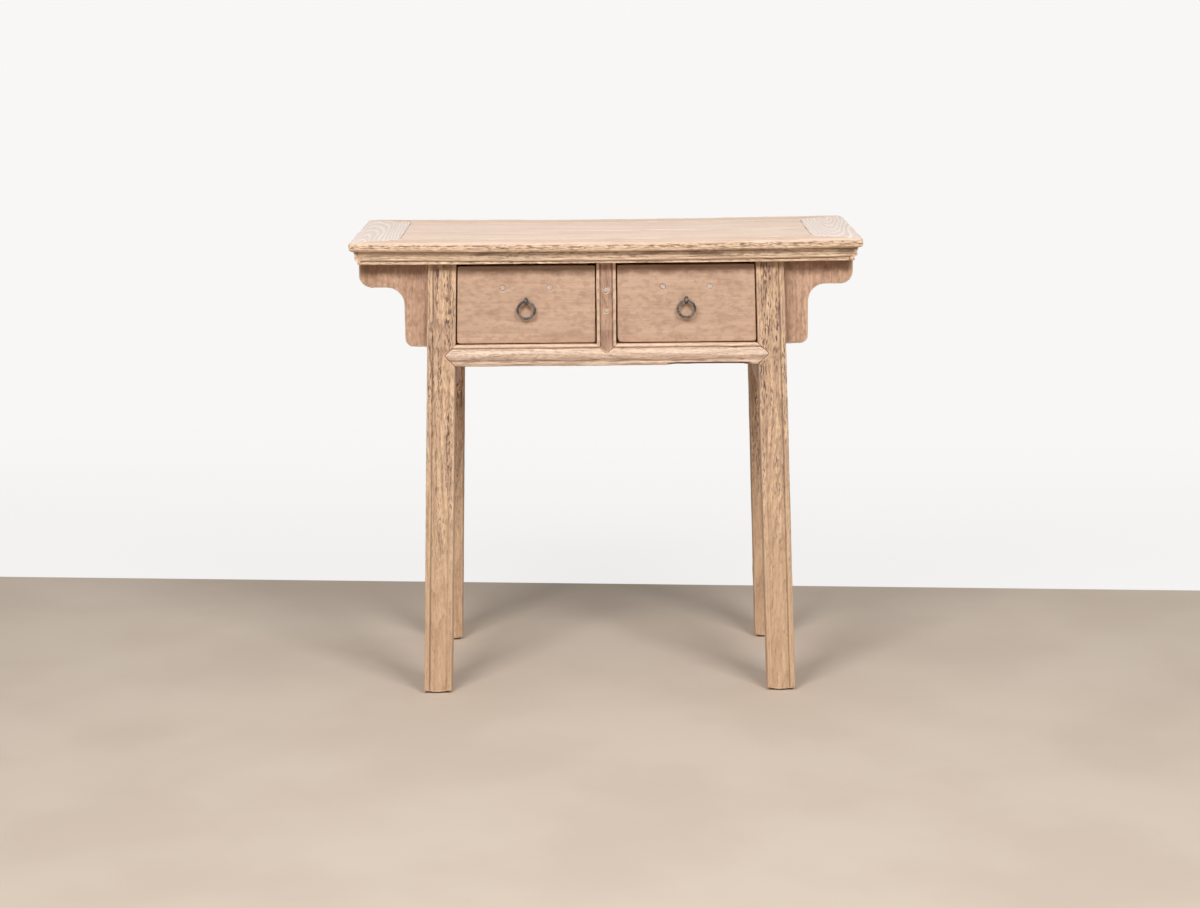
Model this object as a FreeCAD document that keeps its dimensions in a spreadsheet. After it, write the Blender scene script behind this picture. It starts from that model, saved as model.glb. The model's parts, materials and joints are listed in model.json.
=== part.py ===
import FreeCAD, Part
import math
import os
from collections import namedtuple
from types import SimpleNamespace

import Sketcher

# A Chinese console table with two drawers: framed top with a moulded edge, four splayed legs,
# spandrels outside the legs, and rails joined to the legs with pointed mitres. Millimetres.
# The origin lies on the floor under the middle of the top, X right, Y to the back, Z up.

SIZES = {
    # Overall
    "table_width": 932,
    "table_depth": 390,
    "table_height": 850,
    # Top frame and its moulded edge, from the underside up
    "top_thickness": 43,
    "long_rail_width": 58,
    "end_rail_width": 88,
    "edge_bead_radius": 3.7,
    "edge_bead_inset": 13,
    "ogee_foot_inset": 11,
    "ogee_head_inset": 8,
    "ogee_radius": 8,
    "nose_height": 17.5,
    "nose_radius": 5,
    "nose_quirk_inset": 11.5,
    "nose_quirk_height": 2.4,
    "bead_quirk_height": 1.2,
    "frame_tenon_length": 48,
    "frame_tenon_width": 18,
    "frame_tenon_height": 12,
    "frame_tenon_rise": 8,
    "frame_tenon_inset": 5,
    # Top panel and the battens under it
    "panel_thickness": 16,
    "panel_gap": 0.5,
    "panel_tongue": 8,
    "panel_tongue_height": 7,
    "panel_tongue_rise": 2,
    "board_tongue": 6,
    "board_tongue_height": 5,
    "board_tongue_rise": 6.5,
    "batten_width": 40,
    "dovetail_height": 5,
    "dovetail_neck": 16,
    "dovetail_flare": 3,
    "batten_stub": 7,
    "batten_stub_width": 24,
    "batten_stub_height": 10,
    "batten_stub_rise": 8,
    # Legs
    "leg_width": 52,
    "leg_depth": 52,
    "leg_inset_end": 141,
    "leg_inset_front": 29,
    "splay_end": 24,
    "splay_front": 38,
    "leg_bead": 8,
    "leg_quirk": 2,
    "leg_crown": 2.4,
    "leg_edge_radius": 2.5,
    "top_tenon_width": 20,
    "top_tenon_depth": 16,
    "top_tenon_height": 20,
    "top_tenon_setback": 5,
    # Front and back rails
    "drawer_opening": 151.2,
    "rail_height": 39.5,
    "rail_depth": 34,
    "rail_low_bead": 7,
    "rail_high_bead": 4.5,
    "rail_quirk": 2,
    "rail_crown": 4,
    "rail_edge_radius": 2,
    "mitre_depth": 12,
    "rail_tenon_length": 32,
    "rail_tenon_height": 22,
    "rail_tenon_thickness": 14,
    "back_rail_depth": 30,
    "back_rail_recess": 5,
    # Side rails and thin panels
    "side_rail_drop": 62,
    "side_rail_height": 40,
    "side_rail_thickness": 34,
    "side_rail_recess": 5,
    "side_rail_tenon_length": 28,
    "side_rail_tenon_height": 20,
    "side_rail_tenon_thickness": 12,
    "side_rail_round": 5,
    "side_panel_recess": 20,
    "thin_panel": 10,
    "thin_panel_edge": 6,
    # Spandrels
    "spandrel_reach": 127,
    "spandrel_height": 155,
    "spandrel_thickness": 18,
    "spandrel_recess": 8,
    "spandrel_tip": 22,
    "spandrel_lobe": 23,
    "spandrel_cove": 31.5,
    "spandrel_stem": 45.5,
    "spandrel_corner": 15,
    "spandrel_tongue": 8,
    "spandrel_tongue_thickness": 8,
    "spandrel_tongue_stop": 12,
    # Centre post
    "post_width": 36,
    "post_bead": 5,
    "post_quirk": 1.5,
    "post_edge_radius": 1.5,
    "post_sinking": 2,
    "post_tenon_width": 18,
    "post_tenon_depth": 12,
    "post_tenon_height": 18,
    # Drawer runners
    "runner_thickness": 22,
    "side_runner_width": 26,
    "side_runner_gap": 1,
    "centre_runner_width": 90,
    "runner_stub": 8,
    "runner_stub_height": 10,
    "runner_stub_shoulder": 3,
    "guide_height": 28,
    "guide_relief": 0.5,
    # Drawers
    "drawer_recess": 3,
    "drawer_side_gap": 1.8,
    "drawer_post_gap": 1.8,
    "drawer_top_gap": 6.5,
    "drawer_bottom_gap": 1.8,
    "drawer_running_gap": 0.5,
    "drawer_back_gap": 21,
    "drawer_front_thickness": 20,
    "drawer_front_round": 2,
    "drawer_lap": 12,
    "drawer_lip": 1,
    "drawer_side_thickness": 11,
    "drawer_side_height": 133,
    "drawer_back_thickness": 10,
    "drawer_back_setback": 5,
    "drawer_back_drop": 5,
    "drawer_dado": 4,
    "drawer_bottom_thickness": 7,
    "drawer_bottom_rise": 8,
    "drawer_bottom_edge": 5,
    # Ring pulls
    "pull_rise": 78.5,
    "eye_radius": 7,
    "eye_hole_radius": 3,
    "eye_width": 6,
    "eye_chamfer": 1.2,
    "eye_shank_radius": 2.8,
    "eye_shank_gap": 0.3,
    "clinch_length": 34,
    "clinch_width": 5,
    "clinch_thickness": 2,
    "ring_radius": 15.6,
    "ring_wire_radius": 2.35,
    "ring_sag": 0.3,
    # Wooden plugs in old holes
    "plug_radius": 5,
    "small_plug_radius": 3.5,
    "plug_length": 8,
    "plug_gap": 0.1,
    "plug_rise": 102.4,
    "plug_spread": 43,
    "post_plug_drop": 52,
    "post_plug_step": 38,
    # Fits
    "fit_gap": 0.2,
    "end_gap": 0.6,
}

Disc = namedtuple("Disc", "u v radius")


class Size:
    """A length with its value and the sheet expression that drives it."""

    def __init__(self, value, text):
        self.value = value
        self.text = text

    def combine(self, sign, other, value):
        return Size(value, f"({self.text} {sign} {other.text})")

    def __add__(self, other):
        other = as_size(other)
        return self.combine("+", other, self.value + other.value)

    def __radd__(self, other):
        return as_size(other) + self

    def __sub__(self, other):
        other = as_size(other)
        return self.combine("-", other, self.value - other.value)

    def __rsub__(self, other):
        return as_size(other) - self

    def __mul__(self, other):
        other = as_size(other)
        return self.combine("*", other, self.value * other.value)

    def __rmul__(self, other):
        return as_size(other) * self

    def __truediv__(self, other):
        other = as_size(other)
        return self.combine("/", other, self.value / other.value)

    def __neg__(self):
        return self * -1


def as_size(value):
    if isinstance(value, Size):
        return value
    return Size(value, f"({value})")


def write_sheet(doc):
    """Put the driving sizes into the sheet, one named cell each."""
    sheet = doc.addObject("Spreadsheet::Sheet", "Sizes")
    for row, (name, value) in enumerate(SIZES.items(), start=1):
        sheet.set(f"A{row}", name)
        sheet.set(f"B{row}", str(value))
        sheet.setAlias(f"B{row}", name)
    doc.recompute()
    return SimpleNamespace(**{name: Size(value, f"Sizes.{name}") for name, value in SIZES.items()})


doc = FreeCAD.newDocument("console_table")
s = write_sheet(doc)
SIDES = {"left": -1, "right": 1}
FACES = {"front": -1, "back": 1}
subparts = []

# Levels and half sizes that many pieces share
half_width = s.table_width / 2
half_depth = s.table_depth / 2
underside = s.table_height - s.top_thickness
panel_underside = s.table_height - s.panel_thickness
rail_top = underside - s.drawer_opening
rail_bottom = rail_top - s.rail_height
rail_middle = rail_top - s.rail_height / 2
side_rail_top = rail_top - s.side_rail_drop
side_rail_bottom = side_rail_top - s.side_rail_height
side_rail_middle = side_rail_top - s.side_rail_height / 2
spandrel_bottom = underside - s.spandrel_height
post_half = s.post_width / 2
post_apex = rail_top - post_half
panel_half_length = half_width - s.end_rail_width
panel_half_depth = half_depth - s.long_rail_width


def outer_x(z):
    """Half spacing of the legs' outer faces at height z."""
    return half_width - s.leg_inset_end + s.splay_end * (1 - z / underside)


def inner_x(z):
    return outer_x(z) - s.leg_width


def outer_y(z):
    """Half spacing of the legs' front and back faces at height z."""
    return half_depth - s.leg_inset_front + s.splay_front * (1 - z / underside)


def inner_y(z):
    return outer_y(z) - s.leg_depth


rail_front = -outer_y(rail_middle)
mitre_back = rail_front + s.mitre_depth
rail_back = rail_front + s.rail_depth
back_rail_far = outer_y(rail_middle) - s.back_rail_recess
back_rail_near = back_rail_far - s.back_rail_depth
back_panel_middle = (back_rail_far + back_rail_near) / 2
tenon_reach = inner_x(rail_middle) + s.rail_tenon_length
top_tenon_near = outer_y(underside) - s.top_tenon_setback
top_tenon_far = top_tenon_near - s.top_tenon_depth
leg_head_x = (outer_x(underside) + inner_x(underside)) / 2
batten_places = {"left": -leg_head_x, "centre": as_size(0), "right": leg_head_x}
spandrel_face = outer_y(underside) - s.spandrel_recess
spandrel_middle = spandrel_face - s.spandrel_thickness / 2
spandrel_groove_foot = spandrel_bottom + s.spandrel_tongue_stop

# Drawer places, for the right-hand drawer
drawer_face = s.drawer_recess - outer_y(underside)
drawer_inside = drawer_face + s.drawer_front_thickness
drawer_lap_start = drawer_inside - s.drawer_lap
drawer_end = back_panel_middle - s.thin_panel / 2 - s.drawer_back_gap
front_bottom = rail_top + s.drawer_bottom_gap
front_top = underside - s.drawer_top_gap
front_near = post_half + s.drawer_post_gap
side_bottom = rail_top + s.drawer_running_gap
side_top = side_bottom + s.drawer_side_height
near_side = front_near + s.drawer_lip
far_side = inner_x(front_top) - s.drawer_side_gap - s.drawer_lip
drawer_floor = side_bottom + s.drawer_bottom_rise
drawer_floor_top = drawer_floor + s.drawer_bottom_thickness
back_near = drawer_end - s.drawer_back_setback - s.drawer_back_thickness
back_far = back_near + s.drawer_back_thickness
pull_height = front_bottom + s.pull_rise
pull_x = (front_near + inner_x(pull_height) - s.drawer_side_gap) / 2
pull_y = drawer_face - s.eye_radius
plug_height = front_bottom + s.plug_rise


def rectangle(left, right, low, high):
    return [(left, low), (right, low), (right, high), (left, high)]


def in_order(first, second):
    """Two places along an axis, the lower first."""
    return sorted((first, second), key=lambda place: place.value)


def arc_between(here, there, radius, turn):
    """The short arc from here to there; turn is 1 anticlockwise and -1 clockwise."""
    along = there - here
    normal = FreeCAD.Vector(-along.y, along.x, 0).normalize()
    rise = math.sqrt(max(radius ** 2 - along.Length ** 2 / 4, 0))
    centre = (here + there) / 2 + normal * (turn * rise)
    start, stop = (here, there) if turn > 0 else (there, here)
    angles = [math.atan2(point.y - centre.y, point.x - centre.x) for point in (start, stop)]
    circle = Part.Circle(centre, FreeCAD.Vector(0, 0, 1), radius)
    return Part.ArcOfCircle(circle, angles[0], angles[1])


def tie(sketch, rule, size):
    index = sketch.addConstraint(rule)
    sketch.setExpression(f"Constraints[{index}]", size.text)


def place_point(sketch, geometry, point, u, v):
    tie(sketch, Sketcher.Constraint("DistanceX", -1, 1, geometry, point, u.value), u)
    tie(sketch, Sketcher.Constraint("DistanceY", -1, 1, geometry, point, v.value), v)


def draw_disc(sketch, disc):
    centre = FreeCAD.Vector(disc.u.value, disc.v.value, 0)
    index = sketch.addGeometry(Part.Circle(centre, FreeCAD.Vector(0, 0, 1), disc.radius.value))
    place_point(sketch, index, 3, disc.u, disc.v)
    tie(sketch, Sketcher.Constraint("Radius", index, disc.radius.value), disc.radius)


def draw_loop(sketch, loop):
    """Draw a closed loop. A corner is (u, v), or (u, v, radius, turn) where an arc leaves it."""
    loop = [(as_size(corner[0]), as_size(corner[1]), *corner[2:]) for corner in loop]
    points = [FreeCAD.Vector(corner[0].value, corner[1].value, 0) for corner in loop]
    first = sketch.GeometryCount
    ends = []
    for corner, here, there in zip(loop, points, points[1:] + points[:1]):
        if len(corner) == 2:
            sketch.addGeometry(Part.LineSegment(here, there))
            ends.append((1, 2))
        else:
            sketch.addGeometry(arc_between(here, there, corner[2].value, corner[3]))
            ends.append((1, 2) if corner[3] > 0 else (2, 1))
    joins = []
    for index in range(len(loop)):
        after = (index + 1) % len(loop)
        joins.append(
            Sketcher.Constraint("Coincident", first + index, ends[index][1], first + after, ends[after][0])
        )
    sketch.addConstraint(joins)
    for index, corner in enumerate(loop):
        place_point(sketch, first + index, ends[index][0], corner[0], corner[1])
        if len(corner) > 2:
            tie(sketch, Sketcher.Constraint("Radius", first + index, corner[2].value), corner[2])


def sketch_on(body, name, plane, offset, loops):
    """A sketch on one of the body's own planes, moved along the plane's normal."""
    sketch = body.newObject("Sketcher::SketchObject", f"{name}_outline")
    support = [plane_ for plane_ in body.Origin.OriginFeatures if plane_.Role == f"{plane}_Plane"]
    sketch.AttachmentSupport = (support[0], "")
    sketch.MapMode = "FlatFace"
    sketch.setExpression("AttachmentOffset.Base.z", offset.text)
    for loop in loops:
        if isinstance(loop, Disc):
            draw_disc(sketch, loop)
        else:
            draw_loop(sketch, loop)
    return sketch


def pad(body, name, plane, start, stop, *loops):
    """Add material from start to stop along the plane's axis. The XZ plane's normal is -Y."""
    start, stop = as_size(start), as_size(stop)
    offset = -stop if plane == "XZ" else start
    feature = body.newObject("PartDesign::Pad", name)
    feature.Profile = sketch_on(body, name, plane, offset, loops)
    feature.setExpression("Length", (stop - start).text)
    return feature


def pocket(body, name, plane, start, stop, *loops):
    """Cut from start to stop along the plane's axis."""
    start, stop = as_size(start), as_size(stop)
    offset = -start if plane == "XZ" else stop
    feature = body.newObject("PartDesign::Pocket", name)
    feature.Profile = sketch_on(body, name, plane, offset, loops)
    feature.setExpression("Length", (stop - start).text)
    return feature


def slant(body, name, low, high, section, kind="AdditiveLoft"):
    """A straight-sided form between the level sections at two heights."""
    feature = body.newObject(f"PartDesign::{kind}", name)
    feature.Profile = sketch_on(body, f"{name}_low", "XY", as_size(low), [section(low)])
    feature.Sections = [sketch_on(body, f"{name}_high", "XY", as_size(high), [section(high)])]
    feature.Ruled = True
    return feature


def new_body(name):
    body = doc.addObject("PartDesign::Body", name)
    body.Label = name
    subparts.append(body)
    return body


def moulded_face(length, low_bead, high_bead, quirk, depth, edge, crowned=True):
    """Corners of a face with a bead along each edge, as distances along it and into it."""
    span = length - low_bead - high_bead - 2 * quirk
    crown = (span * span / 4 + depth * depth) / (2 * depth)
    zero = as_size(0)
    arc = (crown,) if crowned else ()
    return [
        (zero, edge, edge),
        (edge, zero),
        (low_bead, zero),
        (low_bead + quirk, depth, *arc),
        (length - high_bead - quirk, depth),
        (length - high_bead, zero),
        (length - edge, zero, edge),
        (length, edge),
    ]


# Top


def edge_moulding(width, place, turn):
    """Section of a top frame member; place puts an inset and a height into the sketch."""
    bead = s.edge_bead_radius
    nose = s.nose_radius
    nose_low = s.top_thickness - s.nose_height
    ogee_low = 2 * bead + s.bead_quirk_height
    ogee_high = nose_low - s.nose_quirk_height
    bead_back = s.edge_bead_inset + bead
    ogee_middle = ((s.ogee_foot_inset + s.ogee_head_inset) / 2, (ogee_low + ogee_high) / 2)
    groove_low = s.top_thickness - s.panel_thickness + s.panel_tongue_rise - s.fit_gap
    groove_high = groove_low + s.panel_tongue_height + 2 * s.fit_gap
    groove_back = width - s.panel_tongue - s.end_gap
    corners = [
        (width, 0),
        (bead_back, 0, bead, -1),
        (s.edge_bead_inset, bead, bead, -1),
        (bead_back, 2 * bead),
        (bead_back, ogee_low),
        (s.ogee_foot_inset, ogee_low, s.ogee_radius, -1),
        (*ogee_middle, s.ogee_radius, 1),
        (s.ogee_head_inset, ogee_high),
        (s.nose_quirk_inset, ogee_high),
        (s.nose_quirk_inset, nose_low),
        (nose, nose_low, nose, -1),
        (0, nose_low + nose),
        (0, s.top_thickness - nose, nose, -1),
        (nose, s.top_thickness),
        (width, s.top_thickness),
        (width, groove_high),
        (groove_back, groove_high),
        (groove_back, groove_low),
        (width, groove_low),
    ]
    loop = []
    for corner in corners:
        arc = (corner[2], corner[3] * turn) if len(corner) > 2 else ()
        loop.append((*place(as_size(corner[0]), as_size(corner[1])), *arc))
    return loop


def mitre_triangle(sx, sy, keep_long):
    """The corner cut off a long rail, or off an end rail, by the mitre line run past both ends."""
    overrun = 0.1
    far_x = sx * (half_width + overrun * s.end_rail_width)
    far_y = sy * (half_depth + overrun * s.long_rail_width)
    near_x = sx * (panel_half_length - overrun * s.end_rail_width)
    near_y = sy * (panel_half_depth - overrun * s.long_rail_width)
    third = (far_x, near_y) if keep_long else (near_x, far_y)
    return [(far_x, far_y), (near_x, near_y), third]


def spaced_rectangle(x1, x2, y1, y2, gap, sx=1, sy=1):
    return rectangle(sx * (x1 - gap), sx * (x2 + gap), sy * (y1 - gap), sy * (y2 + gap))


def leg_head(sx, sy, gap):
    """Level outline of the tenon on a leg's head, or of its mortise with a gap round it."""
    half = s.top_tenon_width / 2
    left, right = leg_head_x - half, leg_head_x + half
    return spaced_rectangle(left, right, top_tenon_far, top_tenon_near, gap, sx, sy)


def frame_tenon(sx, sy, gap, end):
    start = panel_half_length - s.frame_tenon_inset
    stop = panel_half_length + s.frame_tenon_length
    low = panel_half_depth + s.frame_tenon_inset
    return rectangle(
        sx * start,
        sx * (stop + end),
        sy * (low - gap),
        sy * (low + s.frame_tenon_width + gap),
    )


def top_long_rail(face):
    sy = FACES[face]
    body = new_body(f"top_{face}_rail")
    section = edge_moulding(s.long_rail_width, lambda d, h: (sy * (half_depth - d), underside + h), -sy)
    pad(body, "moulding", "YZ", -half_width, half_width, section)
    corners = [mitre_triangle(sx, sy, True) for sx in SIDES.values()]
    pocket(body, "mitre", "XY", underside - s.end_gap, s.table_height + s.end_gap, *corners)
    tenon_low = underside + s.frame_tenon_rise
    tenons = [frame_tenon(sx, sy, 0, 0) for sx in SIDES.values()]
    pad(body, "tenon", "XY", tenon_low, tenon_low + s.frame_tenon_height, *tenons)
    heads = [leg_head(sx, sy, s.fit_gap) for sx in SIDES.values()]
    pocket(body, "leg_mortise", "XY", underside, underside + s.top_tenon_height + s.end_gap, *heads)
    stub_half = s.batten_stub_width / 2 + s.fit_gap
    stub_low = underside + s.batten_stub_rise - s.fit_gap
    stub_high = stub_low + s.batten_stub_height + 2 * s.fit_gap
    stubs = [rectangle(x - stub_half, x + stub_half, stub_low, stub_high) for x in batten_places.values()]
    deep = panel_half_depth + s.batten_stub + s.end_gap
    pocket(body, "batten_mortise", "XZ", *in_order(sy * panel_half_depth, sy * deep), *stubs)
    if face == "front":
        half = s.post_tenon_width / 2
        head = spaced_rectangle(-half, half, -top_tenon_near, -top_tenon_far, s.fit_gap)
        pocket(body, "post_mortise", "XY", underside, underside + s.post_tenon_height + s.end_gap, head)
    else:
        reach = inner_x(underside) + s.thin_panel_edge
        half = s.thin_panel / 2
        near, far = back_panel_middle - half, back_panel_middle + half
        groove = spaced_rectangle(-reach, reach, near, far, s.fit_gap)
        pocket(body, "panel_groove", "XY", underside, underside + s.thin_panel_edge + s.end_gap, groove)


def top_end_rail(side):
    sx = SIDES[side]
    body = new_body(f"top_{side}_end")
    section = edge_moulding(s.end_rail_width, lambda d, h: (sx * (half_width - d), underside + h), -sx)
    pad(body, "moulding", "XZ", -half_depth, half_depth, section)
    corners = [mitre_triangle(sx, sy, False) for sy in FACES.values()]
    pocket(body, "mitre", "XY", underside - s.end_gap, s.table_height + s.end_gap, *corners)
    low = underside + s.frame_tenon_rise - s.fit_gap
    mortises = [frame_tenon(sx, sy, s.fit_gap, s.end_gap) for sy in FACES.values()]
    pocket(body, "mortise", "XY", low, low + s.frame_tenon_height + 2 * s.fit_gap, *mortises)


def dovetail(x, gap):
    """Section of a batten's dovetailed ridge, sunk a little into the batten at its foot."""
    neck = s.dovetail_neck / 2 + gap
    head = neck + s.dovetail_flare
    top = panel_underside + s.dovetail_height + gap
    return [(x - neck, panel_underside), (x + neck, panel_underside), (x + head, top), (x - head, top)]


def top_panel_board(face):
    sy = FACES[face]
    body = new_body(f"top_panel_{face}")
    length = panel_half_length - s.panel_gap
    depth = panel_half_depth - s.panel_gap
    seam = s.fit_gap / 2
    board = rectangle(-length, length, sy * seam, sy * depth)
    pad(body, "board", "XY", panel_underside, s.table_height, board)
    tongue_low = panel_underside + s.panel_tongue_rise
    reach_x, reach_y = panel_half_length + s.panel_tongue, panel_half_depth + s.panel_tongue
    tongue = rectangle(-reach_x, reach_x, sy * seam, sy * reach_y)
    pad(body, "tongue", "XY", tongue_low, tongue_low + s.panel_tongue_height, tongue)
    seam_low = panel_underside + s.board_tongue_rise
    seam_high = seam_low + s.board_tongue_height
    if face == "front":
        seam_tongue = rectangle(-length, length, -s.end_gap, s.board_tongue)
        pad(body, "seam_tongue", "XY", seam_low, seam_high, seam_tongue)
    else:
        seam_groove = rectangle(-reach_x - s.end_gap, reach_x + s.end_gap, 0, s.board_tongue + s.end_gap)
        pocket(body, "seam_groove", "XY", seam_low - s.fit_gap, seam_high + s.fit_gap, seam_groove)
    grooves = [dovetail(x, s.fit_gap) for x in batten_places.values()]
    past_seam = s.board_tongue + s.end_gap
    pocket(body, "dovetail_groove", "XZ", *in_order(sy * reach_y, -sy * past_seam), *grooves)


def batten(place):
    x = batten_places[place]
    body = new_body(f"batten_{place}")
    half = s.batten_width / 2
    length = panel_half_depth - s.fit_gap
    ridge = dovetail(x, 0)
    section = [
        (x - half, underside),
        (x + half, underside),
        (x + half, panel_underside),
        ridge[1],
        ridge[2],
        ridge[3],
        ridge[0],
        (x - half, panel_underside),
    ]
    pad(body, "bar", "XZ", -length, length, section)
    low = underside + s.batten_stub_rise
    stub_half = s.batten_stub_width / 2
    stub = rectangle(x - stub_half, x + stub_half, low, low + s.batten_stub_height)
    reach = panel_half_depth + s.batten_stub
    pad(body, "stub_tenon", "XZ", -reach, reach, stub)
    if place in SIDES:
        near = inner_x(underside) + s.side_panel_recess - s.fit_gap
        far = near + s.thin_panel + 2 * s.fit_gap
        sx = SIDES[place]
        groove = rectangle(sx * near, sx * far, underside, underside + s.thin_panel_edge + s.end_gap)
        pocket(body, "panel_groove", "XZ", -length - s.end_gap, length + s.end_gap, groove)


# Legs, rails and panels


def leg_section(sx, sy, z):
    """Level section of a leg: moulded on its outer and face sides, plain inside."""
    z = as_size(z)
    far_x, near_x, far_y, near_y = outer_x(z), inner_x(z), outer_y(z), inner_y(z)
    turn = sx * sy
    detail = (s.leg_bead, s.leg_bead, s.leg_quirk, s.leg_crown, s.leg_edge_radius)
    loop = [(sx * near_x, sy * near_y)]
    # The rounded outer corner, the last two corners of the side, opens the face
    for along, into, *radius in moulded_face(s.leg_depth, *detail)[:-2]:
        arc = (radius[0], turn) if radius else ()
        loop.append((sx * (far_x - into), sy * (near_y + along), *arc))
    for along, into, *radius in moulded_face(s.leg_width, *detail):
        arc = (radius[0], turn) if radius else ()
        loop.append((sx * (far_x - along), sy * (far_y - into), *arc))
    return loop


def point_of_rail(sx, *closing):
    """Front view of the mitre at a rail's end: shoulder, apex and shoulder, then the closing corners."""
    apex = inner_x(rail_middle) + s.rail_height / 2
    mitre = [(inner_x(rail_top), rail_top), (apex, rail_middle), (inner_x(rail_bottom), rail_bottom)]
    return [(sx * x, z) for x, z in (*mitre, *closing)]


def leg(face, side):
    sx, sy = SIDES[side], FACES[face]
    body = new_body(f"{face}_{side}_leg")
    slant(body, "shaft", 0, underside, lambda z: leg_section(sx, sy, z))
    head = leg_head(sx, sy, 0)
    pad(body, "top_tenon", "XY", underside - s.end_gap, underside + s.top_tenon_height, head)

    inside = inner_x(underside) - s.end_gap
    if face == "front":
        notch = point_of_rail(sx, (inside, rail_bottom), (inside, rail_top))
        pocket(body, "mitre_notch", "XZ", -half_depth, mitre_back, notch)
        tenon_near = mitre_back
    else:
        tenon_near = back_panel_middle - s.rail_tenon_thickness / 2 - s.fit_gap
    tenon_far = tenon_near + s.rail_tenon_thickness + s.fit_gap * (1 if face == "front" else 2)
    reach = s.rail_tenon_height / 2 + s.fit_gap
    deep = tenon_reach + s.end_gap
    mortise = rectangle(sx * inside, sx * deep, rail_middle - reach, rail_middle + reach)
    pocket(body, "rail_mortise", "XZ", tenon_near, tenon_far, mortise)

    side_middle = side_rail_inside() + s.side_rail_thickness / 2
    half = s.side_rail_tenon_thickness / 2
    near = inner_y(side_rail_top) - s.end_gap
    far = inner_y(side_rail_middle) + s.side_rail_tenon_length + s.end_gap
    reach = s.side_rail_tenon_height / 2 + s.fit_gap
    half += s.fit_gap
    mortise = rectangle(sx * (side_middle - half), sx * (side_middle + half), sy * near, sy * far)
    pocket(body, "side_mortise", "XY", side_rail_middle - reach, side_rail_middle + reach, mortise)

    def panel_slot(z):
        x = inner_x(as_size(z)) + s.side_panel_recess
        y = inner_y(as_size(z))
        return rectangle(
            sx * (x - s.fit_gap),
            sx * (x + s.thin_panel + s.fit_gap),
            sy * (y - s.end_gap),
            sy * (y + s.thin_panel_edge + s.end_gap),
        )

    slot_foot = side_rail_top - s.thin_panel_edge - s.end_gap
    slant(body, "side_panel_groove", slot_foot, underside + s.end_gap, panel_slot, "SubtractiveLoft")

    half = s.spandrel_tongue_thickness / 2 + s.fit_gap
    foot = spandrel_groove_foot - s.fit_gap
    groove = outer_strip(sx, foot, underside + s.end_gap, s.end_gap, s.spandrel_tongue + s.end_gap)
    cut = in_order(sy * (spandrel_middle - half), sy * (spandrel_middle + half))
    pocket(body, "spandrel_groove", "XZ", *cut, groove)

    if face == "back":
        half = s.thin_panel / 2 + s.fit_gap
        foot = rail_top - s.thin_panel_edge - s.end_gap
        groove = inner_strip(sx, foot, underside + s.end_gap, s.end_gap, s.thin_panel_edge + s.end_gap)
        pocket(body, "back_panel_groove", "XZ", back_panel_middle - half, back_panel_middle + half, groove)


def inner_strip(sx, low, high, outside, depth):
    """A strip along a leg's inner face in front view, from outside the leg to a depth in it."""
    return [
        (sx * (inner_x(low) - outside), low),
        (sx * (inner_x(low) + depth), low),
        (sx * (inner_x(high) + depth), high),
        (sx * (inner_x(high) - outside), high),
    ]


def outer_strip(sx, low, high, outside, depth):
    """The same along a leg's outer face."""
    return [
        (sx * (outer_x(low) + outside), low),
        (sx * (outer_x(low) - depth), low),
        (sx * (outer_x(high) - depth), high),
        (sx * (outer_x(high) + outside), high),
    ]


def side_rail_inside():
    return inner_x(side_rail_middle) + s.side_rail_recess


def runner_places():
    """Left and right edges of the three drawer runners."""
    far = inner_x(rail_top) - s.side_runner_gap
    half = s.centre_runner_width / 2
    return {
        "left": (-far, s.side_runner_width - far),
        "centre": (-half, half),
        "right": (far - s.side_runner_width, far),
    }


def runner_stubs(gap):
    middle = rail_top - s.runner_thickness / 2
    half = s.runner_stub_height / 2 + gap
    inset = s.runner_stub_shoulder - gap
    return {
        place: rectangle(left + inset, right - inset, middle - half, middle + half)
        for place, (left, right) in runner_places().items()
    }


def front_rail():
    body = new_body("front_rail")
    face = moulded_face(
        s.rail_height, s.rail_low_bead, s.rail_high_bead, s.rail_quirk, s.rail_crown, s.rail_edge_radius
    )
    section = [(rail_back, rail_bottom)]
    for along, into, *radius in face:
        z = rail_bottom + along
        arc = (radius[0], -1) if radius else ()
        section.append((into - outer_y(z), z, *arc))
    section.append((rail_back, rail_top))
    pad(body, "moulding", "YZ", -tenon_reach, tenon_reach, section)

    beyond = tenon_reach + s.end_gap
    high, low = rail_top + s.end_gap, rail_bottom - s.end_gap
    points, shoulders, behind = [], [], []
    for sx in SIDES.values():
        points.append(
            point_of_rail(
                sx, (inner_x(low), low), (beyond, low), (beyond, high), (inner_x(high), high)
            )
        )
        reach = s.rail_tenon_height / 2
        for start, stop in ((rail_middle + reach, high), (low, rail_middle - reach)):
            shoulders.append(inner_strip(sx, start, stop, 0, s.rail_tenon_length + s.rail_height))
        behind.append(inner_strip(sx, low, high, 0, s.rail_tenon_length + s.rail_height))
    tenon_far = mitre_back + s.rail_tenon_thickness
    pocket(body, "points", "XZ", -half_depth, mitre_back, *points)
    pocket(body, "shoulders", "XZ", mitre_back, tenon_far, *shoulders)
    pocket(body, "back_shoulders", "XZ", tenon_far, rail_back + s.end_gap, *behind)

    notch = [
        (-post_half, rail_top),
        (0, post_apex),
        (post_half, rail_top),
        (post_half, rail_top + s.end_gap),
        (-post_half, rail_top + s.end_gap),
    ]
    pocket(body, "post_notch", "XZ", -half_depth, mitre_back, notch)
    half = s.post_tenon_width / 2
    mortise = spaced_rectangle(-half, half, *post_foot_tenon(), s.fit_gap)
    pocket(body, "post_mortise", "XY", rail_top - s.post_tenon_height - s.end_gap, rail_top, mortise)
    stubs = runner_stubs(s.fit_gap).values()
    pocket(body, "runner_mortises", "XZ", rail_back - s.runner_stub - s.end_gap, rail_back, *stubs)


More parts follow.
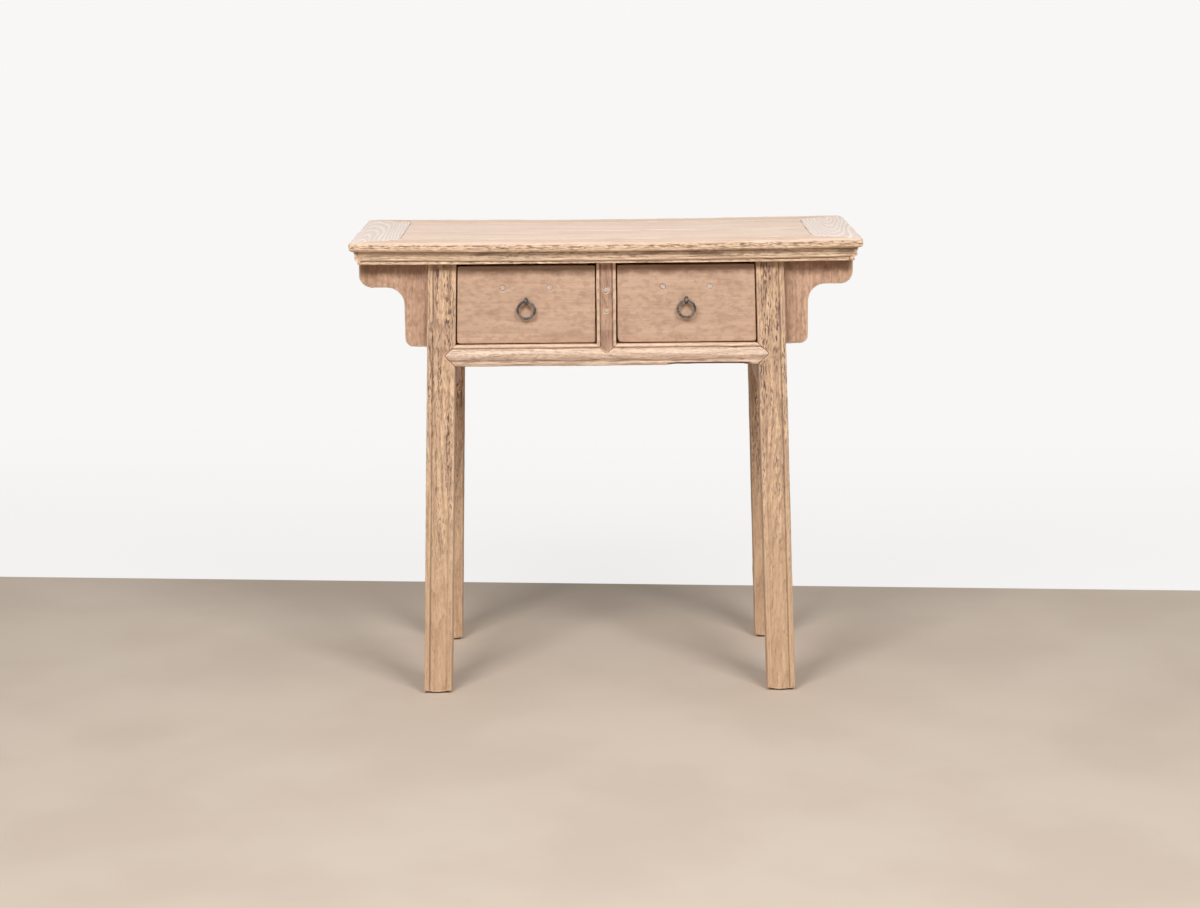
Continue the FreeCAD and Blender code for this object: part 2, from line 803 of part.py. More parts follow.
def post_foot_tenon():
    near = mitre_back + s.end_gap
    return near, near + s.post_tenon_depth


def back_rail():
    body = new_body("back_rail")
    outline = [
        (-inner_x(rail_bottom), rail_bottom),
        (inner_x(rail_bottom), rail_bottom),
        (inner_x(rail_top), rail_top),
        (-inner_x(rail_top), rail_top),
    ]
    pad(body, "rail", "XZ", back_rail_near, back_rail_far, outline)
    reach, half = s.rail_tenon_height / 2, s.rail_tenon_thickness / 2
    tenon = rectangle(-tenon_reach, tenon_reach, rail_middle - reach, rail_middle + reach)
    pad(body, "tenons", "XZ", back_panel_middle - half, back_panel_middle + half, tenon)
    half = s.thin_panel / 2
    length = inner_x(rail_bottom)
    groove = rectangle(
        -length, length, back_panel_middle - half - s.fit_gap, back_panel_middle + half + s.fit_gap
    )
    pocket(body, "panel_groove", "XY", rail_top - s.thin_panel_edge - s.end_gap, rail_top, groove)
    stubs = runner_stubs(s.fit_gap).values()
    deep = back_rail_near + s.runner_stub + s.end_gap
    pocket(body, "runner_mortises", "XZ", back_rail_near, deep, *stubs)


def side_rail(side):
    sx = SIDES[side]
    body = new_body(f"side_rail_{side}")
    near, far = side_rail_inside(), side_rail_inside() + s.side_rail_thickness
    low, high = inner_y(side_rail_bottom), inner_y(side_rail_top)
    outline = [
        (-low, side_rail_bottom),
        (low, side_rail_bottom),
        (high, side_rail_top),
        (-high, side_rail_top),
    ]
    start, stop = (near, far) if sx > 0 else (-far, -near)
    pad(body, "rail", "YZ", start, stop, outline)
    round_long_edges(body, s.side_rail_round, lambda edge: edge.BoundBox.YLength > s.table_depth.value / 3)
    half, reach = s.side_rail_tenon_thickness / 2, s.side_rail_tenon_height / 2
    length = inner_y(side_rail_middle) + s.side_rail_tenon_length
    middle = (start + stop) / 2
    tenon = rectangle(-length, length, side_rail_middle - reach, side_rail_middle + reach)
    pad(body, "tenons", "YZ", middle - half, middle + half, tenon)
    panel_near = inner_x(side_rail_top) + s.side_panel_recess - s.end_gap
    panel_far = panel_near + s.thin_panel + 2 * s.end_gap
    groove = rectangle(sx * panel_near, sx * panel_far, -low, low)
    pocket(body, "panel_groove", "XY", side_rail_top - s.thin_panel_edge - s.end_gap, side_rail_top, groove)


def round_long_edges(body, radius, wanted):
    """Round the edges of the body's last feature that the test picks."""
    doc.recompute()
    base = body.Tip
    names = [f"Edge{index}" for index, edge in enumerate(base.Shape.Edges, start=1) if wanted(edge)]
    fillet = body.newObject("PartDesign::Fillet", "rounding")
    fillet.Base = (base, names)
    fillet.setExpression("Radius", radius.text)


def side_panel(side):
    sx = SIDES[side]
    body = new_body(f"side_panel_{side}")

    def section(z):
        x = inner_x(as_size(z)) + s.side_panel_recess
        y = inner_y(as_size(z)) + s.thin_panel_edge
        return rectangle(sx * x, sx * (x + s.thin_panel), -y, y)

    slant(body, "board", side_rail_top - s.thin_panel_edge, underside, section)
    near = inner_x(underside) + s.side_panel_recess
    length = inner_y(underside) - s.end_gap
    edge = rectangle(sx * near, sx * (near + s.thin_panel), -length, length)
    pad(body, "top_edge", "XY", underside - s.end_gap, underside + s.thin_panel_edge, edge)


def back_panel():
    body = new_body("back_panel")
    low, high = rail_top - s.thin_panel_edge, underside + s.thin_panel_edge
    reach_low, reach_high = inner_x(low) + s.thin_panel_edge, inner_x(underside) + s.thin_panel_edge
    outline = [
        (-reach_low, low),
        (reach_low, low),
        (reach_high, underside),
        (reach_high, high),
        (-reach_high, high),
        (-reach_high, underside),
    ]
    half = s.thin_panel / 2
    pad(body, "board", "XZ", back_panel_middle - half, back_panel_middle + half, outline)


def spandrel(face, side):
    """Cloud-shaped board outside a leg, hung from the top and tongued into the leg."""
    sx, sy = SIDES[side], FACES[face]
    body = new_body(f"{face}_{side}_spandrel")
    tip = outer_x(underside) + s.spandrel_reach
    stem = outer_x(underside) + s.spandrel_stem
    tip_foot = underside - s.spandrel_tip
    flat = tip_foot - s.spandrel_lobe
    outline = [
        (sx * outer_x(underside), underside),
        (sx * tip, underside),
        (sx * tip, tip_foot, s.spandrel_lobe, -sx),
        (sx * (tip - s.spandrel_lobe), flat),
        (sx * (stem + s.spandrel_cove), flat, s.spandrel_cove, sx),
        (sx * stem, flat - s.spandrel_cove),
        (sx * stem, spandrel_bottom + s.spandrel_corner, s.spandrel_corner, -sx),
        (sx * (stem - s.spandrel_corner), spandrel_bottom),
        (sx * outer_x(spandrel_bottom), spandrel_bottom),
    ]
    half = s.spandrel_thickness / 2
    cut = in_order(sy * (spandrel_middle - half), sy * (spandrel_middle + half))
    pad(body, "board", "XZ", *cut, outline)
    half = s.spandrel_tongue_thickness / 2
    cut = in_order(sy * (spandrel_middle - half), sy * (spandrel_middle + half))
    tongue = outer_strip(sx, spandrel_groove_foot, underside, s.end_gap, s.spandrel_tongue)
    pad(body, "tongue", "XZ", *cut, tongue)


def centre_post():
    body = new_body("centre_post")

    def section(z):
        front = -outer_y(as_size(z))
        face = moulded_face(
            s.post_width, s.post_bead, s.post_bead, s.post_quirk, s.post_sinking, s.post_edge_radius, False
        )
        loop = [(post_half, rail_back), (-post_half, rail_back)]
        for along, into, *radius in face:
            arc = (radius[0], 1) if radius else ()
            loop.append((along - post_half, front + into, *arc))
        return loop

    slant(body, "shaft", post_apex, underside, section)
    wide = post_half + s.end_gap
    low = post_apex - s.end_gap
    point = [
        (0, post_apex),
        (wide, rail_top + s.end_gap),
        (wide, low),
        (-wide, low),
        (-wide, rail_top + s.end_gap),
    ]
    pocket(body, "point", "XZ", -half_depth, mitre_back, point)
    shoulder = rectangle(-wide, wide, low, rail_top)
    pocket(body, "shoulder", "XZ", mitre_back, rail_back + s.end_gap, shoulder)
    half = s.post_tenon_width / 2
    foot = rectangle(-half, half, *post_foot_tenon())
    pad(body, "foot_tenon", "XY", rail_top - s.post_tenon_height, rail_top + s.end_gap, foot)
    head = rectangle(-half, half, -top_tenon_near, -top_tenon_far)
    pad(body, "head_tenon", "XY", underside - s.end_gap, underside + s.post_tenon_height, head)
    holes = [Disc(as_size(0), z, radius + s.plug_gap) for z, radius in post_plug_places()]
    for index, hole in enumerate(holes):
        back = post_plug_face(hole.v) + s.plug_length
        pocket(body, f"plug_hole_{index}", "XZ", -half_depth, back, hole)


def post_plug_places():
    upper = underside - s.post_plug_drop
    return [(upper, s.plug_radius), (upper - s.post_plug_step, s.small_plug_radius)]


def post_plug_face(z):
    return s.post_sinking - outer_y(z)


def runner(place):
    left, right = runner_places()[place]
    body = new_body(f"runner_{place}")
    section = rectangle(left, right, rail_top - s.runner_thickness, rail_top)
    pad(body, "bar", "XZ", rail_back, back_rail_near, section)
    stub = runner_stubs(0)[place]
    pad(body, "stub_tenons", "XZ", rail_back - s.runner_stub, back_rail_near + s.runner_stub, stub)


def centre_guide():
    body = new_body("centre_guide")
    half = post_half - s.guide_relief
    strip = rectangle(-half, half, rail_top, rail_top + s.guide_height)
    pad(body, "strip", "XZ", rail_back, back_rail_near, strip)


# Drawers


def drawer_front(side):
    sx = SIDES[side]
    body = new_body(f"{side}_drawer_front")
    board = [
        (sx * front_near, front_bottom),
        (sx * (inner_x(front_bottom) - s.drawer_side_gap), front_bottom),
        (sx * (inner_x(front_top) - s.drawer_side_gap), front_top),
        (sx * front_near, front_top),
    ]
    pad(body, "board", "XZ", drawer_face, drawer_inside, board)
    face_y = drawer_face.value
    round_long_edges(
        body,
        s.drawer_front_round,
        lambda edge: abs(edge.BoundBox.YMin - face_y) + abs(edge.BoundBox.YMax - face_y) < 0.01,
    )
    lap = drawer_lap_start - s.fit_gap
    past = inner_x(rail_bottom)
    near_rebate = rectangle(0, sx * (near_side + s.drawer_side_thickness), lap, drawer_inside)
    far_rebate = rectangle(sx * (far_side - s.drawer_side_thickness), sx * past, lap, drawer_inside)
    pocket(body, "side_rebates", "XY", rail_top, underside, near_rebate, far_rebate)
    groove = rectangle(
        sx * near_side, sx * far_side, drawer_inside - s.drawer_bottom_edge - s.end_gap, drawer_inside
    )
    pocket(body, "bottom_groove", "XY", drawer_floor - s.fit_gap, drawer_floor_top + s.fit_gap, groove)
    hole = Disc(sx * pull_x, pull_height, s.eye_shank_radius + s.eye_shank_gap)
    pocket(body, "eye_hole", "XZ", drawer_face, drawer_inside, hole)
    plug_holes = [Disc(x, plug_height, s.plug_radius + s.plug_gap) for x in drawer_plug_places(sx)]
    pocket(body, "plug_holes", "XZ", drawer_face, drawer_face + s.plug_length, *plug_holes)


def drawer_plug_places(sx):
    return [sx * (pull_x - s.plug_spread), sx * (pull_x + s.plug_spread)]


def drawer_side(side, which):
    """One side board: the near one runs beside the post, the far one beside the leg."""
    sx = SIDES[side]
    body = new_body(f"{side}_drawer_{which}_side")
    thickness = s.drawer_side_thickness
    if which == "near":
        outer, inner, turn = near_side, near_side + thickness, -1
    else:
        outer, inner, turn = far_side, far_side - thickness, 1
    board = rectangle(sx * outer, sx * inner, side_bottom, side_top)
    pad(body, "board", "XZ", drawer_lap_start, drawer_end, board)
    depth = s.drawer_bottom_edge + s.fit_gap
    groove = rectangle(
        sx * inner, sx * (inner + turn * depth), drawer_floor - s.fit_gap, drawer_floor_top + s.fit_gap
    )
    pocket(body, "bottom_groove", "XZ", drawer_lap_start, drawer_end, groove)
    dado = rectangle(
        sx * inner,
        sx * (inner + turn * (s.drawer_dado + s.fit_gap)),
        back_near - s.fit_gap,
        back_far + s.fit_gap,
    )
    pocket(body, "back_dado", "XY", drawer_floor_top, side_top, dado)


def drawer_back(side):
    sx = SIDES[side]
    body = new_body(f"{side}_drawer_back")
    left = near_side + s.drawer_side_thickness - s.drawer_dado
    right = far_side - s.drawer_side_thickness + s.drawer_dado
    board = rectangle(sx * left, sx * right, drawer_floor_top + s.fit_gap, side_top - s.drawer_back_drop)
    pad(body, "board", "XZ", back_near, back_far, board)


def drawer_bottom(side):
    sx = SIDES[side]
    body = new_body(f"{side}_drawer_bottom")
    left = near_side + s.drawer_side_thickness - s.drawer_bottom_edge
    right = far_side - s.drawer_side_thickness + s.drawer_bottom_edge
    board = rectangle(sx * left, sx * right, drawer_inside - s.drawer_bottom_edge, drawer_end)
    pad(body, "board", "XY", drawer_floor, drawer_floor_top, board)


def place_at(subpart, x, y, z):
    for axis, size in zip("xyz", (x, y, z)):
        subpart.setExpression(f"Placement.Base.{axis}", size.text)


def pull_eye(side):
    """Split pin: a flat loop with its hole along X, a shank, and ends bent flat inside."""
    body = new_body(f"{side}_pull_eye")
    half, soft = s.eye_width / 2, s.eye_chamfer
    low, high = s.eye_hole_radius, s.eye_radius
    section = [
        (soft - half, low),
        (half - soft, low),
        (half, low + soft),
        (half, high - soft),
        (half - soft, high),
        (soft - half, high),
        (-half, high - soft),
        (-half, low + soft),
    ]
    loop = body.newObject("PartDesign::Revolution", "loop")
    loop.Profile = sketch_on(body, "loop", "XY", as_size(0), [section])
    loop.ReferenceAxis = (loop.Profile[0], ["H_Axis"])
    loop.Angle = 360
    middle = (s.eye_hole_radius + s.eye_radius) / 2
    inside = s.eye_radius + s.drawer_front_thickness
    zero = as_size(0)
    pad(body, "shank", "XZ", middle, inside + s.clinch_thickness, Disc(zero, zero, s.eye_shank_radius))
    across, along = s.clinch_width / 2, s.clinch_length / 2
    ends = rectangle(-across, across, -along, along)
    pad(body, "clinched_ends", "XZ", inside, inside + s.clinch_thickness, ends)
    place_at(body, SIDES[side] * pull_x, pull_y, pull_height)


def pull_ring(side):
    """Iron ring, hanging straight down through the eye."""
    ring = doc.addObject("Part::Torus", f"{side}_pull_ring")
    ring.Label = ring.Name
    ring.setExpression("Radius1", s.ring_radius.text)
    ring.setExpression("Radius2", s.ring_wire_radius.text)
    ring.Placement.Rotation = FreeCAD.Rotation(FreeCAD.Vector(1, 0, 0), 90)
    place_at(ring, SIDES[side] * pull_x, pull_y, pull_height - s.ring_sag - s.ring_radius)
    subparts.append(ring)


def plugs(name, places):
    """A group of wooden plugs; each place is x, z, face and radius."""
    group = doc.addObject("Part::Compound", name)
    group.Label = name
    pegs = []
    for x, z, face, radius in places:
        peg = doc.addObject("Part::Cylinder", f"{name}_peg")
        peg.setExpression("Radius", radius.text)
        peg.setExpression("Height", s.plug_length.text)
        peg.Placement.Rotation = FreeCAD.Rotation(FreeCAD.Vector(1, 0, 0), -90)
        place_at(peg, as_size(x), face, z)
        pegs.append(peg)
    group.Links = pegs
    subparts.append(group)


def build():
    for face in FACES:
        top_long_rail(face)
        top_panel_board(face)
    for side in SIDES:
        top_end_rail(side)
    for place in batten_places:
        batten(place)
    for face in FACES:
        for side in SIDES:
            leg(face, side)
            spandrel(face, side)
    front_rail()
    back_rail()
    back_panel()
    for side in SIDES:
        side_rail(side)
        side_panel(side)
    centre_post()
    for place in runner_places():
        runner(place)
    centre_guide()
    plugs("post_plugs", [(0, z, post_plug_face(z), radius) for z, radius in post_plug_places()])
    for side, sx in SIDES.items():
        drawer_front(side)
        for which in ("near", "far"):
            drawer_side(side, which)
        drawer_back(side)
        drawer_bottom(side)
        pull_eye(side)
        pull_ring(side)
        places = [(x, plug_height, drawer_face, s.plug_radius) for x in drawer_plug_places(sx)]
        plugs(f"{side}_drawer_plugs", places)


def check_features():
    """Stop if a feature failed, or if a cut took nothing away or a pad added nothing."""
    for item in doc.Objects:
        if "Invalid" in item.State or "Error" in item.State:
            raise RuntimeError(f"{item.Label} failed: {item.getStatusString()}")
        base = getattr(item, "BaseFeature", None)
        if base is None or item.isDerivedFrom("PartDesign::Body"):
            continue
        change = item.Shape.Volume - base.Shape.Volume
        adds = item.isDerivedFrom("PartDesign::Pad")
        if abs(change) < 0.1 or (change > 0) != adds:
            raise RuntimeError(f"{item.Name} changed the volume by {change:.2f} mm3")


def export():
    os.makedirs("parts", exist_ok=True)
    for subpart in subparts:
        shape = subpart.Shape
        if shape.isNull() or not shape.isValid():
            raise RuntimeError(f"{subpart.Label} has no valid shape")
    for subpart in subparts:
        subpart.Shape.exportStep(f"parts/{subpart.Label}.step")
    box = Part.makeCompound([subpart.Shape for subpart in subparts]).BoundBox
    print(f"{len(subparts)} pieces, {box.XLength:.1f} x {box.YLength:.1f} x {box.ZLength:.1f} mm")


build()
doc.recompute()
check_features()
export()
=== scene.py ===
# %% [markdown]
# # A Chinese console table in bleached elm
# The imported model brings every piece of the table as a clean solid, each in its place. This lesson dresses
# those solids: the wood is worn down the way decades of hands and sunlight wear it, it gets a dry elm
# finish, and the ring pulls become forged iron. No piece is moved, so drawers and rings still work.

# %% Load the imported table
import json
import math

import bpy
import numpy as np
from mathutils import Euler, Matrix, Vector

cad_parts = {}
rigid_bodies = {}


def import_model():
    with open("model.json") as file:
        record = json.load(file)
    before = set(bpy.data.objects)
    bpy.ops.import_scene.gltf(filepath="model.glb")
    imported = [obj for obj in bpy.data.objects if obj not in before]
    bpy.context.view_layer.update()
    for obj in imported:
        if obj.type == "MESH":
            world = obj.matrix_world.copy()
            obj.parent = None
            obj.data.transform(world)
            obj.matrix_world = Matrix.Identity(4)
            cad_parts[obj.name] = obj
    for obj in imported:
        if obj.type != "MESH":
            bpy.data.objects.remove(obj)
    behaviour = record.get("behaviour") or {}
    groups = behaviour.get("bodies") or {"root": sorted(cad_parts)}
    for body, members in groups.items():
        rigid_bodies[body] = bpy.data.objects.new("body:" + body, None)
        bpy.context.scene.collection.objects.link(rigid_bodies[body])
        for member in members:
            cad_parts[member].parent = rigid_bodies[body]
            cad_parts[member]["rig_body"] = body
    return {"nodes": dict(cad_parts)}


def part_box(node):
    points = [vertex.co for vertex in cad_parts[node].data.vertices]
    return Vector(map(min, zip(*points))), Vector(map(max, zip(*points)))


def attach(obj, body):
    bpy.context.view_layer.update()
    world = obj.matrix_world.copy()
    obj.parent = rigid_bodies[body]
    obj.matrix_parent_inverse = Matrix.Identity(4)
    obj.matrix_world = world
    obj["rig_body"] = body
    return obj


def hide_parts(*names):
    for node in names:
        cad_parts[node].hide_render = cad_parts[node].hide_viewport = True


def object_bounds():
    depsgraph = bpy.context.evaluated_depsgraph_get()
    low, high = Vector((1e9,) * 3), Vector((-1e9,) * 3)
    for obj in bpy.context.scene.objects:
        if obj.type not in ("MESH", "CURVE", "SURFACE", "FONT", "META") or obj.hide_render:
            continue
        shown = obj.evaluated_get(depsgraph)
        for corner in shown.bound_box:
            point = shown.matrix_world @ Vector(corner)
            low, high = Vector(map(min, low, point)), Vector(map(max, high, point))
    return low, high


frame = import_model()
cad_low, cad_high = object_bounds()
nodes = frame["nodes"]
bpy.ops.object.select_all(action="DESELECT")
print(len(nodes), "pieces, from", list(cad_low), "to", list(cad_high))

# %% [markdown]
# ## The camera
# The table is seen from about four and a half metres away, from a little above its top, with the camera
# pitched down and held half a degree askew. A matched camera can be found by hand, or solved from known
# corners of the table. Here it was solved, so its numbers are simply written in.

# %% Set the camera
CAMERA_PLACE = (-0.00847, -4.46816, 1.35285)
PITCH, YAW, ROLL = 0.20705, -0.0013, -0.00954
LENS_MM, SENSOR_MM = 71.09, 36

bpy.ops.object.camera_add(location=CAMERA_PLACE)
camera = bpy.context.active_object
camera.name = "photo_camera"
turn = Euler((0, 0, -YAW)).to_matrix() @ Euler((math.pi / 2 - PITCH, 0, 0)).to_matrix()
camera.rotation_euler = (turn @ Euler((0, 0, ROLL)).to_matrix()).to_euler()
camera.data.sensor_width = SENSOR_MM
camera.data.lens = LENS_MM
bpy.context.scene.camera = camera
print("camera at", [round(v, 3) for v in camera.location], "with a lens of", LENS_MM, "mm")

# %% [markdown]
# ## Shader sums in Python
# A wood finish is a long sum: growth rings, plus pores, plus stains. Drawn by hand it is a hundred nodes
# and links, which nobody can read back. A small class that wraps a socket and overloads the operators lets
# the sum be written as one, and each operator adds its Math node. Each new noise is shifted further along
# than the one before it, so that no two of them in a finish are alike.

# %% A socket that can be added and multiplied
NOISE_SHIFT, NOISE_MIDDLE = 1.7, 0.5


class Wire:
    """An output socket of a shader tree. Sums of wires add Math nodes to that tree."""

    def __init__(self, tree, socket=None):
        self.tree = tree
        self.socket = socket

    def node(self, kind, settings, sockets, output=0):
        """Adds a node: its settings first, then the values or links of its sockets."""
        made = self.tree.nodes.new(kind)
        for name, value in settings.items():
            setattr(made, name, value)
        for name, value in sockets.items():
            if isinstance(value, Wire):
                self.tree.links.new(value.socket, made.inputs[name])
            else:
                made.inputs[name].default_value = value
        return Wire(self.tree, made.outputs[output]) if made.outputs else None

    def sum(self, operation, *values):
        return self.node("ShaderNodeMath", {"operation": operation}, dict(enumerate(values)))

    def __add__(self, other):
        return self.sum("ADD", self, other)

    __radd__ = __add__

    def __sub__(self, other):
        return self.sum("SUBTRACT", self, other)

    def __rsub__(self, other):
        return self.sum("SUBTRACT", other, self)

    def __mul__(self, other):
        return self.sum("MULTIPLY", self, other)

    __rmul__ = __mul__

    def __truediv__(self, other):
        return self.sum("DIVIDE", self, other)

    def root(self):
        return self.sum("SQRT", self)

    def whole(self):
        return self.sum("FLOOR", self)

    def part(self):
        return self.sum("FRACT", self)

    def rise(self, low, high):
        """0 below low, 1 above high, and a smooth step between them."""
        sockets = {"Value": self, "From Min": low, "From Max": high}
        return self.node("ShaderNodeMapRange", {"interpolation_type": "SMOOTHSTEP"}, sockets)

    def band(self, start, end):
        """1 from the step at the start to the step at the end, each step given by its low and high value."""
        return self.rise(*start) * (1 - self.rise(*end))

    def noise(self, across, along, detail=2.0):
        """Noise at this place, with features of these sizes in metres across and along the grain."""
        scale = (1 / across, 1 / across, 1 / along)
        shift = (len(self.tree.nodes) * NOISE_SHIFT, 0.0, 0.0)
        sockets = {0: self, 1: scale, 2: shift}
        spread = self.node("ShaderNodeVectorMath", {"operation": "MULTIPLY_ADD"}, sockets)
        return self.node("ShaderNodeTexNoise", {}, {"Vector": spread, "Scale": 1.0, "Detail": detail})

    def flecks(self, across, along, detail, low, high):
        """Flecks of these sizes: 0 where their noise lies below low, and 1 where it lies above high."""
        return self.noise(across, along, detail).rise(low, high)

    def between(self, first, second):
        """The colour that lies this share of the way from the first to the second."""
        return self.node("ShaderNodeMix", {"data_type": "RGBA"}, {0: self, 6: first, 7: second}, 2)

    def blend(self, tone, share):
        """This colour, going over to a tone by a share."""
        return share.between(self, tone)


def new_finish(name):
    """An empty material, and a wire to start its nodes from."""
    material = bpy.data.materials.new(name)
    material.use_nodes = True
    material.node_tree.nodes.clear()
    return material, Wire(material.node_tree)


def surface(pen, sockets):
    """Ends a finish with one shader."""
    shader = pen.node("ShaderNodeBsdfPrincipled", {}, sockets)
    pen.node("ShaderNodeOutputMaterial", {}, {"Surface": shader})


def tone(red, green, blue):
    """A screen colour as a painter reads it, in the linear values that shaders use."""
    shares = [value / 255 for value in (red, green, blue)]
    linear = [s / 12.92 if s <= 0.04045 else ((s + 0.055) / 1.055) ** 2.4 for s in shares]
    return (*linear, 1.0)


print("a tan in linear values:", [round(v, 3) for v in tone(205, 165, 134)])

# %% [markdown]
# ## Floor and paper
# The table stands on a pale floor in front of something white. A wall would hide the table from a camera
# that walks round it, so the white is a sheet of paper that lies on the floor, from a line behind the table.
# It glows for the eye alone, so that it looks white and still casts no light of its own on the table.

# %% Floor and paper
EYE_RAYS = ("Is Camera Ray", "Is Glossy Ray", "Is Transmission Ray")


def seen_by(pen):
    """1 for a ray that the eye follows, straight or by way of a mirror or glass."""
    return sum(pen.node("ShaderNodeLightPath", {}, {}, ray) for ray in EYE_RAYS)


FLOOR_SIZE = 60.0
PAPER_LINE, PAPER_TURN, PAPER_FAR = 0.58, 0.08, 2.4
PAPER_EDGE, PAPER_GLOW = 0.004, 0.85
FLOOR_TONE = tone(203, 187, 171)
FLOOR_PATCH_TONE = tone(209, 194, 178)
PAPER_TONE = tone(248, 247, 246)
FLOOR_PATCHES = (0.35, 0.35, 4.0, 0.35, 0.65)
FLOOR_ROUGHNESS, FLOOR_GLOSS = 0.9, 0.2

bpy.ops.mesh.primitive_plane_add(size=FLOOR_SIZE)
floor = bpy.context.active_object
floor.name = "floor"
floor_finish, pen = new_finish("floor_and_paper")
place = pen.node("ShaderNodeTexCoord", {}, {}, "Object")
aside, depth = (pen.node("ShaderNodeSeparateXYZ", {}, {0: place}, axis) for axis in "XY")
depth = depth + aside * PAPER_TURN
patches = place.flecks(*FLOOR_PATCHES)
colour = patches.between(FLOOR_TONE, FLOOR_PATCH_TONE)
paper = depth.rise(PAPER_LINE, PAPER_LINE + PAPER_EDGE)
colour = colour.blend(PAPER_TONE, paper)
sockets = {"Base Color": colour, "Roughness": FLOOR_ROUGHNESS, "Specular IOR Level": FLOOR_GLOSS}
lit = pen.node("ShaderNodeBsdfPrincipled", {}, sockets)
white = pen.node("ShaderNodeEmission", {}, {"Color": PAPER_TONE, "Strength": 1.0})
share = seen_by(pen) * (paper * PAPER_GLOW + depth.rise(PAPER_LINE, PAPER_FAR) * (1 - PAPER_GLOW))
both = pen.node("ShaderNodeMixShader", {}, {0: share, 1: lit, 2: white})
pen.node("ShaderNodeOutputMaterial", {}, {"Surface": both})
floor.data.materials.append(floor_finish)
print("floor", FLOOR_SIZE, "m wide, paper from", PAPER_LINE, "m behind the middle")

# %% [markdown]
# ## Light
# The light is even and soft, as from a high window or a studio's lamps. A picture of a room could give it
# too, but that would be one more file to carry along. Two large soft lamps stand high in front, so that the
# moulding shades what lies under it, a weak one hangs over the top, and the world fills the rest. At this
# level a tone renders about as it is written.

# %% Lamps and world
LOOK_AT = Vector((0, 0, 0.5))
LAMPS = {
    "left_lamp": ((-1.3, -2.7, 3.4), 1.2, 82),
    "right_lamp": ((1.5, -2.7, 3.4), 1.2, 82),
    "top_lamp": ((0.0, -0.4, 3.6), 1.6, 11),
}
WORLD_LEVEL = 0.27

for name, (lamp_place, lamp_size, lamp_watts) in LAMPS.items():
    aim = (LOOK_AT - Vector(lamp_place)).to_track_quat("-Z", "Y").to_euler()
    bpy.ops.object.light_add(type="AREA", location=lamp_place, rotation=aim)
    lamp = bpy.context.active_object
    lamp.name = name
    lamp.data.size = lamp_size
    lamp.data.energy = lamp_watts

world = bpy.data.worlds.new("studio")
world.use_nodes = True
world.node_tree.nodes.clear()
pen = Wire(world.node_tree)
fill = pen.node("ShaderNodeBackground", {}, {"Color": (1, 1, 1, 1), "Strength": WORLD_LEVEL})
seen = pen.node("ShaderNodeBackground", {}, {"Color": PAPER_TONE, "Strength": 1.0})
both = pen.node("ShaderNodeMixShader", {}, {0: seen_by(pen), 1: fill, 2: seen})
pen.node("ShaderNodeOutputWorld", {}, {"Surface": both})
bpy.context.scene.world = world
bpy.context.scene.view_settings.view_transform = "Standard"
print(len(LAMPS), "lamps, and a world at", WORLD_LEVEL)

# %% [markdown]
# ## Wearing the wood down
# The solids have sharp machine edges. On the table every edge is soft, the corners of the feet are rounded,
# long hollows run with the grain and the moulded edge is nibbled. Sculpting that by hand would differ from
# piece to piece and from run to run. Here each piece is copied, cut into small even faces by a voxel remesh,
# smoothed, and pushed inwards by two cloud textures that are stretched along its grain: one everywhere, and
# a rougher one on the edges alone. All of it only takes wood away, so the table keeps its size.

# %% A merged copy of a solid
SAME_POINT = 1e-6


def copy_of(node):
    """A copy of a CAD node with its loose triangles merged, selected and active."""
    bpy.ops.object.select_all(action="DESELECT")
    piece = bpy.data.objects.new(f"worn_{node}", nodes[node].data.copy())
    piece.data.materials.clear()
    bpy.context.scene.collection.objects.link(piece)
    piece.select_set(True)
    bpy.context.view_layer.objects.active = piece
    bpy.ops.object.mode_set(mode="EDIT")
    bpy.ops.mesh.select_all(action="SELECT")
    bpy.ops.mesh.remove_doubles(threshold=SAME_POINT)
    bpy.ops.object.mode_set(mode="OBJECT")
    return piece


def apply(piece, kind, **settings):
    """Adds a modifier to the active piece and applies it at once."""
    modifier = piece.modifiers.new(kind.lower(), kind)
    for name, value in settings.items():
        setattr(modifier, name, value)
    bpy.ops.object.modifier_apply(modifier=modifier.name)


print("pieces are merged within", SAME_POINT, "m")

# %% Which points lie on an edge
FULL_BEND = 60.0
BLURS = 2
LEVELS = 10


def points_of(mesh, name):
    """One vector for each point of a mesh: its place or its normal."""
    values = np.empty(len(mesh.vertices) * 3, np.float32)
    mesh.vertices.foreach_get(name, values)
    return values.reshape(-1, 3).astype(float)


def mark_edges(piece, voxel):
    """Stores how each point bends as "wear", from -1 in a groove to 1 on an edge, and groups the edges."""
    mesh = piece.data
    count = len(mesh.vertices)
    ends = np.empty(len(mesh.edges) * 2, np.int32)
    mesh.edges.foreach_get("vertices", ends)
    first, second = ends[0::2], ends[1::2]
    number = np.bincount(ends, minlength=count)

    def around(values):
        total = np.bincount(first, values[second], count) + np.bincount(second, values[first], count)
        return total / number

    place = points_of(mesh, "co")
    middle = np.stack([around(place[:, axis]) for axis in range(3)], 1)
    bend = ((place - middle) * points_of(mesh, "normal")).sum(1)
    for _ in range(BLURS):
        bend = around(bend)
    wear = np.clip(bend / (FULL_BEND * voxel * voxel), -1, 1)
    mesh.attributes.new("wear", "FLOAT", "POINT").data.foreach_set("value", wear.astype(np.float32))
    group = piece.vertex_groups.new(name="edges")
    steps = np.rint(np.clip(wear, 0, 1) * LEVELS)
    for step in range(1, LEVELS + 1):
        group.add(np.flatnonzero(steps == step).tolist(), step / LEVELS, "REPLACE")


print("edges are marked in", LEVELS, "levels")

# %% Cloud textures that follow the grain
STRETCH = 8.0


